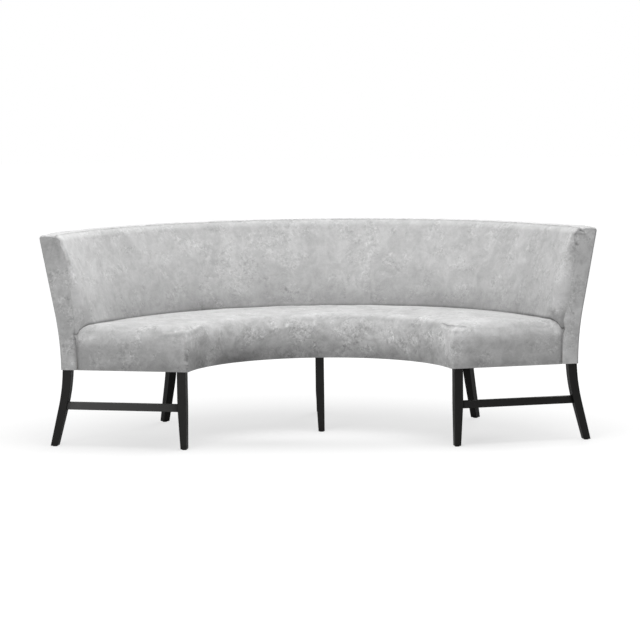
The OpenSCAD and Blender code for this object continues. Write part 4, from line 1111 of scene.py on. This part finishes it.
def stretcher(k, name):
    """Stretcher between a front and a rear leg, its ends cut to both legs' faces."""
    share = np.linspace(0, 1, STRETCHER_STATIONS)
    ends = np.array([[-STRETCHER_T / 2, STRETCHER_Z], [STRETCHER_T / 2, STRETCHER_Z + STRETCHER_H]])
    low, high = (np.column_stack([np.tile(end, (STRETCHER_STATIONS, 1)), share]) for end in ends)
    rib = rib_world(k)

    def to_world(p):
        z = p[..., 1]
        y0 = FRAME_FRONT_R + FRONT_STEP + tapered(z, FRONT_FOOT_W)
        y1 = leg_out(z) - leg_depth(z)
        return rib(np.stack([p[..., 0], y0 + (y1 - y0) * p[..., 2], z], -1))
    # Painted reflection along the left stretcher, none on the others
    painted_sheen = STRETCHER_PAINTED_SHEEN[0] + (STRETCHER_PAINTED_SHEEN[1] - STRETCHER_PAINTED_SHEEN[0]) * share if k == -2 else 0 * share
    return bar(name, low, high, to_world, painted_sheen)


def node(tree, kind, sockets=None, **props):
    """Adds a shader node of a kind, sets its properties, and gives each input a value or a link."""
    made = tree.nodes.new("ShaderNode" + kind)
    for key, value in props.items():
        setattr(made, key, value)
    for key, value in (sockets or {}).items():
        if isinstance(value, bpy.types.NodeSocket):
            tree.links.new(value, made.inputs[key])
        else:
            made.inputs[key].default_value = value
    return made


def maths(tree, operation, a, b, clamp=False):
    """Result of a sum on two values or sockets."""
    return node(tree, "Math", {0: a, 1: b}, operation=operation, use_clamp=clamp).outputs[0]


def total(tree, first, *others):
    """Values or sockets added one after another."""
    for other in others:
        first = maths(tree, "ADD", first, other)
    return first


def product(tree, first, *others):
    """Values or sockets multiplied one after another."""
    for other in others:
        first = maths(tree, "MULTIPLY", first, other)
    return first


def seen_by_camera(tree):
    """Light path's 1 for what the camera sees itself or through glass, and 0 for other light."""
    path = node(tree, "LightPath").outputs
    return maths(tree, "MAXIMUM", path["Is Camera Ray"], path["Is Transmission Ray"])


def noise(tree, vector, scale, detail=2.0, roughness=0.5, distortion=0.0):
    """Grey noise on a vector."""
    return node(tree, "TexNoise", {"Vector": vector, "Scale": scale, "Detail": detail,
                "Roughness": roughness, "Distortion": distortion}).outputs["Fac"]


def spread(tree, value, low, high):
    """Stretches a value so that low becomes 0 and high becomes 1."""
    return node(tree, "MapRange", {"Value": value, "From Min": low, "From Max": high},
                interpolation_type="SMOOTHSTEP").outputs["Result"]


def new_group(name, inputs, outputs):
    """Shader node group with named inputs and outputs, and its input and output nodes' sockets."""
    tree = bpy.data.node_groups.new(name, "ShaderNodeTree")
    for way, sockets in (("INPUT", inputs), ("OUTPUT", outputs)):
        for label, kind in sockets:
            tree.interface.new_socket(label, in_out=way, socket_type="NodeSocket" + kind)
    return tree, tree.nodes.new("NodeGroupInput").outputs, tree.nodes.new("NodeGroupOutput").inputs


def flecks(tree, vector, scale, low, high):
    """Short soft flecks: the peaks of a noise."""
    return spread(tree, noise(tree, vector, scale, 2.5, 0.6, 0.7), low, high)


def crushed_pile_group():
    """Mottling of crushed velvet as a tone about zero and a height in metres: broad patches, streaks
    along the pile, and light and dark flecks that come in clusters with smoother pile between them.
    The streaks have a vector of their own."""
    tree, given, out = new_group("crushed_pile", [("Vector", "Vector"), ("Streaks", "Vector")],
                                 [("Tone", "Float"), ("Height", "Float")])
    place = given["Vector"]
    other = node(tree, "VectorMath", {0: place, 1: (3, 8, 5)}, operation="ADD").outputs[0]
    cloud = noise(tree, place, 6.5, 2, 0.5, 0.6)
    patch = spread(tree, noise(tree, place, 15, 3, 0.6, 1.2), 0.36, 0.64)
    streak = noise(tree, given["Streaks"], 26, 2, 0.55, 0.9)
    cluster = spread(tree, noise(tree, place, 13, 2, 0.5, 0.5), 0.46, 0.62)
    much = total(tree, 0.45, product(tree, cluster, 1.3))
    speck = product(tree, maths(tree, "SUBTRACT", noise(tree, place, 85, 3, 0.65, 0.8), 0.5), much)
    light = product(tree, flecks(tree, given["Streaks"], 62, 0.58, 0.74), much)
    dark = product(tree, flecks(tree, other, 70, 0.6, 0.76), much)
    pile = noise(tree, place, 600, 2)
    tone = 0
    height = 0
    for value, middle, tone_share, depth in (
            (cloud, 0.5, 0.65, 1.2 * MM), (patch, 0.5, 0.2, 0.3 * MM), (streak, 0.5, 0.4, 0.25 * MM),
            (speck, 0, 1.0, 0.12 * MM), (light, 0.06, 0.22, 0.13 * MM), (dark, 0.05, -0.2, -0.1 * MM),
            (pile, 0.5, 0.25, 0.05 * MM)):
        tone = total(tree, tone, product(tree, maths(tree, "SUBTRACT", value, middle), tone_share))
        height = total(tree, height, product(tree, value, depth))
    tree.links.new(tone, out["Tone"])
    tree.links.new(height, out["Height"])
    return tree


# Velvet's mottling, its mean colour, how strong the mottling is, and its other values
CRUSHED_PILE = crushed_pile_group()
VELVET_COLOUR = (0.5, 0.5, 0.5)
MOTTLE = 0.6
VELVET_SKIN = {"Roughness": 0.9, "Specular IOR Level": 0.2, "Sheen Weight": 0.25, "Sheen Roughness": 0.45}


def material(name):
    """New node material and its Principled shader."""
    made = bpy.data.materials.new(name)
    made.use_nodes = True
    return made, made.node_tree, made.node_tree.nodes["Principled BSDF"]


def raised(tree, shader, height, depth):
    """Gives a shader a relief of a depth in metres."""
    relief = node(tree, "Bump", {"Strength": 1.0, "Distance": depth, "Height": height})
    tree.links.new(relief.outputs[0], shader.inputs["Normal"])


def velvet(name, shift, streaks=(1, 1, 0.6), takes_painted_shading=True):
    """Light grey crushed velvet. A shift moves the pattern so that each cut piece has its own, and
    streaks scales the coordinates of the streaks, which are longest where the scale is least. With its
    last flag set it takes painted light and shade and how strongly it is mottled from the piece."""
    made, tree, shader = material(name)
    place = node(tree, "TexCoord").outputs["Object"]
    moved = node(tree, "Mapping", {"Vector": place, "Location": shift}).outputs[0]
    drawn = node(tree, "Mapping", {"Vector": moved, "Scale": streaks}).outputs[0]
    pile = node(tree, "Group", {"Vector": moved, "Streaks": drawn}, node_tree=CRUSHED_PILE)
    nap, crush = 1, 1
    if takes_painted_shading:
        nap, crush = (node(tree, "Attribute", attribute_name=label).outputs["Fac"]
                      for label in ("nap", "crush"))
    # The colour is scaled by the mottling and by the painted light and shade
    level = product(tree, total(tree, product(tree, pile.outputs["Tone"], crush, MOTTLE), 1), nap)
    colour = node(tree, "VectorMath", {0: VELVET_COLOUR, "Scale": level}, operation="SCALE")
    tree.links.new(colour.outputs[0], shader.inputs["Base Color"])
    raised(tree, shader, pile.outputs["Height"], 1.0)
    for label, value in VELVET_SKIN.items():
        shader.inputs[label].default_value = value
    return made


def grain_group(name, grain):
    """Shader node group of a grain: a tone and a relief from a vector and a scale."""
    tree, given, out = new_group(name, [("Vector", "Vector"), ("Scale", "Float")],
                                 [("Tone", "Float"), ("Relief", "Float")])
    for label, value in zip(("Tone", "Relief"), grain(tree, given["Vector"], given["Scale"])):
        tree.links.new(value, out[label])
    return tree


def wood_grain(tree, vector, scale):
    """Grain of planed timber: year rings, finer fibres and pores, drawn out where the vector's scale
    is least: 0.55 rings + 0.6 fibre - 0.35 pores."""
    place = node(tree, "VectorMath", {0: vector, "Scale": scale}, operation="SCALE").outputs[0]
    rings = node(tree, "TexWave", {"Vector": place, "Scale": 1.6, "Distortion": 5.0, "Detail": 3.0,
                                   "Detail Scale": 1.2}).outputs["Fac"]
    fibre = noise(tree, place, 9, 5, 0.65)
    pores = spread(tree, noise(tree, place, 22, 3, 0.6), 0.62, 0.72)
    tone = total(tree, product(tree, rings, 0.55), product(tree, fibre, 0.6))
    tone = maths(tree, "SUBTRACT", tone, product(tree, pores, 0.35), clamp=True)
    return tone, tone


def fine_grain(tree, vector, scale):
    """Even fine grain, as of foam, board, cloth, nylon or steel, with broad soft clouds in its tone:
    0.45 clouds + 0.5 grain."""
    broad = noise(tree, vector, product(tree, scale, 0.11), 2)
    fine = spread(tree, noise(tree, vector, scale, 3, 0.6), 0.35, 0.65)
    return maths(tree, "ADD", product(tree, broad, 0.45), product(tree, fine, 0.5), clamp=True), fine


def lacquer_grain(tree, vector, scale):
    """Faint grain under black lacquer, drawn out where the vector's scale is least."""
    grain = noise(tree, vector, scale, 4, 0.6)
    return product(tree, grain, 0.1), grain


WOOD_GRAIN = grain_group("wood_grain", wood_grain)
FINE_GRAIN = grain_group("fine_grain", fine_grain)
LACQUER_GRAIN = grain_group("lacquer_grain", lacquer_grain)


def grain_vector(tree, kind, scale):
    """Scaled vector for a grain: a piece's own coordinates ("object"), its own UV map ("uv"), or the
    angle round the bench's curve with the radius and the height ("curve")."""
    if kind == "uv":
        place = node(tree, "UVMap").outputs["UV"]
    else:
        place = node(tree, "TexCoord").outputs["Object"]
    if kind == "curve":
        x, y, z = node(tree, "SeparateXYZ", {0: place}).outputs[:3]
        y = maths(tree, "SUBTRACT", y, ARC_Y)
        square = total(tree, product(tree, x, x), product(tree, y, y))
        angle, radius = maths(tree, "ARCTAN2", x, y), maths(tree, "SQRT", square, 0)
        place = node(tree, "CombineXYZ", {0: angle, 1: radius, 2: z}).outputs[0]
    return node(tree, "Mapping", {"Vector": place, "Scale": scale}).outputs[0]


def grained(name, group, kind, stretch, scale, tones, depth, rough, metal=0.0):
    """Material with a group's grain between a dark and a light colour, in relief. A piece with a UV
    map is paler where it has a painted reflection."""
    made, tree, shader = material(name)
    vector = grain_vector(tree, kind, stretch)
    grain = node(tree, "Group", {"Vector": vector, "Scale": scale}, node_tree=group)
    tone = grain.outputs["Tone"]
    if kind == "uv":
        # A painted reflection read from the piece makes the lacquer paler
        painted_sheen = node(tree, "Attribute", attribute_name="painted_sheen").outputs["Fac"]
        tone = total(tree, tone, painted_sheen)
    dark, light = ((*colour, 1) for colour in tones)
    mix = node(tree, "Mix", {"Factor": tone, 6: dark, 7: light}, data_type="RGBA")
    tree.links.new(mix.outputs[2], shader.inputs["Base Color"])
    raised(tree, shader, grain.outputs["Relief"], depth)
    shader.inputs["Roughness"].default_value = rough
    shader.inputs["Metallic"].default_value = metal
    return made


# Dark and light colour of each stuff
LACQUER_TONES = (0.009, 0.0085, 0.008), (0.079, 0.0785, 0.078)
TIMBER_TONES = (0.4, 0.25, 0.12), (0.66, 0.48, 0.28)
PLYWOOD_TONES = (0.55, 0.38, 0.2), (0.74, 0.58, 0.38)
BOARD_TONES = (0.2, 0.115, 0.06), (0.36, 0.22, 0.12)
FOAM_TONES = (0.7, 0.62, 0.38), (0.86, 0.8, 0.58)
WEB_TONES = (0.025, 0.025, 0.028), (0.11, 0.11, 0.115)
CLOTH_TONES = (0.012, 0.012, 0.013), (0.04, 0.04, 0.042)
STEEL_TONES = (0.42, 0.42, 0.43), (0.66, 0.66, 0.67)
NYLON_TONES = (0.018, 0.018, 0.019), (0.04, 0.04, 0.042)


def lacquer(name, kind, stretch):
    """Black satin lacquer on wood."""
    made = grained(name, LACQUER_GRAIN, kind, stretch, 28, LACQUER_TONES, 0.1 * MM, 0.38)
    made.node_tree.nodes["Principled BSDF"].inputs["Specular IOR Level"].default_value = 0.2
    return made


def timber(name, stretch, tones=TIMBER_TONES):
    """Planed timber, with its grain along the axis whose stretch is least."""
    return grained(name, WOOD_GRAIN, "curve", stretch, 1, tones, 0.3 * MM, 0.7)


def even_stuff(name, scale, tones, depth, rough, metal=0.0):
    """Foam, board, cloth, nylon or steel."""
    return grained(name, FINE_GRAIN, "object", (1, 1, 1), scale, tones, depth, rough, metal)


# Finish of each slot of the record
FINISHES = {
    "black_wood": lacquer("black_lacquer_upright", "object", (14, 14, 1)),
    "frame_timber": timber("timber_rails", (4, 26, 26)),
    "bendy_plywood": timber("plywood", (30, 30, 3), PLYWOOD_TONES),
    "back_board": even_stuff("board", 380, BOARD_TONES, 0.2 * MM, 0.6),
    "foam": even_stuff("foam_cream", 420, FOAM_TONES, 0.6 * MM, 0.95),
    "strap_webbing": grained("webbing", FINE_GRAIN, "curve", (60, 400, 400), 1, WEB_TONES, 0.4 * MM, 0.85),
    "dust_cloth": even_stuff("dust_cloth_black", 700, CLOTH_TONES, 0.2 * MM, 0.92),
    "screw_steel": even_stuff("steel", 300, STEEL_TONES, 0.05 * MM, 0.35, 1.0),
    "glide_nylon": even_stuff("nylon", 260, NYLON_TONES, 0.1 * MM, 0.5),
    "grey_velvet": velvet("velvet_plain", (2, 2, 2), takes_painted_shading=False)}


def dress(obj, finish, slot, *nodes):
    """Gives a piece its finish, lets it ride on the bench, and hides the imported parts that it replaces.
    The slot is not used.
    """
    obj.data.materials.append(finish)
    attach(obj, "root")
    if nodes:
        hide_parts(*nodes)


def build_covers():
    """All the velvet pieces."""
    dress(inside_back(), velvet("velvet_inside_back", (0, 0, 0)), "grey_velvet", "inside_back_cover")
    dress(top_band(), velvet("velvet_top_band", (3, 0, 1)), "grey_velvet", "back_top_band")
    dress(outside_back(), velvet("velvet_outside_back", (7, 2, 3)), "grey_velvet", "outside_back_cover")
    for side, word in ((-1, "left"), (1, "right")):
        dress(end_panel(side, word), velvet("velvet_end_" + word, (5 + side, 3, 1)), "grey_velvet",
              "back_end_panel_" + word)
    dress(seat(), velvet("velvet_seat", (1, 5, 2), (0.6, 0.9, 0.9)), "grey_velvet", "seat_cover")


# Staples: height, step, distance in from the velvet, free lengths at an end plane and at a leg, the
# first and last distance out of the side rows, and a staple's size, of which its box has these shares
STAPLE_Z = APRON_Z + 1.6 * MM
STAPLE_STEP = 55 * MM
STAPLE_INSET = 13 * MM
STAPLE_FROM_END = 50 * MM
STAPLE_FROM_LEG = 30 * MM
SIDE_ROW = (SEAT_FRONT_R + 70 * MM, LEG_REAR_R - 80 * MM)
STAPLE_SIZE = np.array([11, 1, 1.4]) * MM
BOX_CORNERS = np.array([(x, y, z) for x in (-0.5, 0.5) for y in (-0.5, 0.5) for z in (-0.5, 0.43)])
BOX_SIDES = np.array([(0, 1, 3, 2), (4, 6, 7, 5), (0, 4, 5, 1), (2, 3, 7, 6), (0, 2, 6, 4), (1, 5, 7, 3)])


def staples():
    """Wire staples that hold the dust cloth along its edges, a step apart and clear of the legs. Each
    is a small box turned along its edge."""
    places = []
    for r in (SEAT_FRONT_R + STAPLE_INSET, LEG_REAR_R - STAPLE_INSET):
        reach = HALF_ANGLE - math.asin(STAPLE_FROM_END / r)
        for a in np.linspace(-reach, reach, int(2 * reach * r / STAPLE_STEP)):
            to_legs = [abs(r * math.sin(a - rib_angle(k))) - END_LEG_T * (abs(k) == 2) for k in range(-2, 3)]
            if min(to_legs) > STAPLE_FROM_LEG:
                places.append((*polar(r, a, STAPLE_Z), -a))
    for side in (-1, 1):
        for out in np.arange(*SIDE_ROW, STAPLE_STEP):
            place = end_point(side, 2 * STAPLE_INSET, out, STAPLE_Z)
            places.append((*place, math.pi / 2 - side * HALF_ANGLE))
    points, quads = [], []
    for x, y, z, turn in places:
        c, s = math.cos(turn), math.sin(turn)
        quads.append(BOX_SIDES + 8 * len(points))
        points.append(BOX_CORNERS * STAPLE_SIZE @ np.array([(c, s, 0), (-s, c, 0), (0, 0, 1)]) + (x, y, z))
    obj = make_object("dust_cloth_staples", np.concatenate(points), np.concatenate(quads))
    obj.data.polygons.foreach_set("use_smooth", np.zeros(len(obj.data.polygons), bool))
    return obj


def build_pads():
    """Foam under the velvet, the dust cloth below and its staples."""
    dress(seat_pad(), FINISHES["foam"], "foam", "seat_foam")
    dress(back_pad(), FINISHES["foam"], "foam", "back_foam")
    dress(dust_cloth(), FINISHES["dust_cloth"], "dust_cloth", "dust_cover")
    dress(staples(), FINISHES["screw_steel"], "screw_steel")


def build_legs():
    """Legs and stretchers in black lacquer."""
    finish = lacquer("black_lacquer", "uv", (1, 14, 1))
    for k, word in ((-2, "left"), (0, "centre"), (2, "right")):
        dress(front_leg(k, "lacquered_front_leg_" + word), finish, "black_wood", "front_leg_" + word)
        dress(stretcher(k, "lacquered_stretcher_" + word), finish, "black_wood", "stretcher_" + word)
    for k, word in ((-2, "end_left"), (-1, "mid_left"), (0, "centre"), (1, "mid_right"), (2, "end_right")):
        dress(rear_leg(k, "lacquered_rear_leg_" + word), finish, "black_wood", "rear_leg_" + word)


def dress_frame():
    """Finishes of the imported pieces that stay. Rails that run straight out have their own timber."""
    slots = {part["node"]: part["material_slot"] for part in frame["record"]["subparts"]}
    across = timber("timber_across", (26, 4, 26))
    for name, obj in frame["nodes"].items():
        obj.data.materials.clear()
        turned = name.startswith(("end_rail", "cross_rail"))
        obj.data.materials.append(across if turned else FINISHES[slots[name]])


# Floor: half its size, the shares of light that its paint throws back in general and to glossy faces,
# its glow far away, and soft pools where it glows less, the first round the bench where the lamps
# shine most and the others a painted shadow before it: by how much, middle, and half widths
FLOOR_HALF = 30.0
FLOOR_PAINT = 0.3
FLOOR_SHINE = 0.6
FLOOR_GLOW = 0.88
FLOOR_PAINTED_POOLS = ((0.22, (0, 0), (2.2, 2.2)),
               (0.12, (0, -0.4), (0.75, 0.17)),
               (0.07, (-0.25, -0.33), (0.22, 0.1)))


def floor():
    """White floor. What the camera sees of it is part glow and part lit paint, so that it comes to
    white and keeps the bench's soft shadow. The glow is least round the bench, where the lamps shine
    most, and is painted lower before it as a shadow: far - sum of tone * exp(-(x/w)^2 - (y/d)^2) of
    the pools."""
    corners = np.array([(-1, -1, 0), (1, -1, 0), (1, 1, 0), (-1, 1, 0)]) * FLOOR_HALF
    obj = make_object("floor", corners, np.array([[0, 1, 2, 3]]))
    made, tree = material("floor_white")[:2]
    tree.nodes.clear()
    seen = seen_by_camera(tree)
    glossy = node(tree, "LightPath").outputs["Is Glossy Ray"]
    level = total(tree, FLOOR_PAINT, product(tree, glossy, FLOOR_SHINE - FLOOR_PAINT))
    colour = node(tree, "CombineColor", {"Red": level, "Green": level, "Blue": level})
    skin = node(tree, "BsdfDiffuse", {"Color": colour.outputs[0]})
    place = node(tree, "TexCoord").outputs["Object"]
    glow = FLOOR_GLOW
    # Dimming of the glow: round the bench, and a painted shadow before it
    for tone, (x, y), (wide, deep) in FLOOR_PAINTED_POOLS:
        off = node(tree, "Mapping", {"Vector": place, "Scale": (1 / wide, 1 / deep, 0),
                                     "Location": (-x / wide, -y / deep, 0)}).outputs[0]
        off = node(tree, "VectorMath", {0: off}, operation="LENGTH").outputs["Value"]
        bell = maths(tree, "EXPONENT", product(tree, off, off, -1), 0)
        glow = maths(tree, "SUBTRACT", glow, product(tree, bell, tone))
    light = node(tree, "Emission", {"Strength": product(tree, glow, seen)})
    both = node(tree, "AddShader", {0: skin.outputs[0], 1: light.outputs[0]})
    node(tree, "OutputMaterial", {"Surface": both.outputs[0]})
    obj.data.materials.append(made)


def lamp(name, place, target, size, power):
    """Square soft box that points at a target."""
    light = bpy.data.lights.new(name, "AREA")
    light.shape = "SQUARE"
    light.size = size
    light.energy = power
    obj = bpy.data.objects.new(name, light)
    bpy.context.scene.collection.objects.link(obj)
    forward = np.array(target, float) - np.array(place, float)
    forward /= np.linalg.norm(forward)
    side = np.cross(forward, (0, 0, 1))
    side /= np.linalg.norm(side)
    set_axes(obj, place, side, np.cross(side, forward), -forward)


def set_axes(obj, place, right, up, back):
    """Places an object by its three axes."""
    matrix = np.eye(4)
    matrix[:3, 0], matrix[:3, 1], matrix[:3, 2], matrix[:3, 3] = right, up, back, place
    obj.matrix_world = Matrix(matrix.tolist())


# Soft boxes: name, place, target, size and power in watts
LAMPS = (("top_box", (0.2, -0.5, 3.2), (0, 0, 0.4), 2.4, 80),
         ("front_box", (-2.2, -4.8, 2.4), (0, 0, 0.5), 2.4, 72),
         ("back_box", (1.6, 3.6, 2.8), (0, 0.1, 0.3), 2.2, 55),
         ("low_box", (-3.0, -4.2, 0.75), (-0.3, -0.3, 0.3), 1.2, 13))

# Strength of the surroundings' light on the bench. The camera sees them at 1.
WORLD_LIGHT = 0.45


def light_up():
    """Even white surroundings, whose light on the bench is less than what the camera sees of them,
    and soft boxes above, before and behind the bench."""
    world = bpy.data.worlds.new("studio")
    bpy.context.scene.world = world
    world.use_nodes = True
    tree = world.node_tree
    tree.nodes.clear()
    strength = total(tree, WORLD_LIGHT, product(tree, seen_by_camera(tree), 1 - WORLD_LIGHT))
    shade = node(tree, "Background", {"Color": (1, 1, 1, 1), "Strength": strength})
    node(tree, "OutputWorld", {"Surface": shade.outputs[0]})
    for row in LAMPS:
        lamp(*row)


# Camera: focal length as a share of the picture's width, place, pitch, yaw and roll
FOCAL_SHARE = 3.4159
CAMERA_PLACE = (-0.0128, -8.0882 + ARC_Y, 1.387)
PITCH, YAW, ROLL = 0.1085, -0.0019, -0.0125


def camera():
    """Long lens at the photograph's height, tilted down a little."""
    data = bpy.data.cameras.new("camera")
    data.sensor_width = 36
    data.lens = FOCAL_SHARE * data.sensor_width
    data.clip_end = 200
    obj = bpy.data.objects.new("camera", data)
    bpy.context.scene.collection.objects.link(obj)
    bpy.context.scene.camera = obj
    level = np.array([math.cos(YAW), math.sin(YAW), 0])
    ahead = np.array([-math.sin(YAW) * math.cos(PITCH), math.cos(YAW) * math.cos(PITCH), -math.sin(PITCH)])
    above = np.cross(level, ahead)
    right = math.cos(ROLL) * level + math.sin(ROLL) * above
    up = math.cos(ROLL) * above - math.sin(ROLL) * level
    set_axes(obj, CAMERA_PLACE, right, up, -ahead)


camera()
build_pads()
build_covers()
build_legs()
dress_frame()
floor()
light_up()
bpy.context.scene.view_settings.view_transform = "Standard"
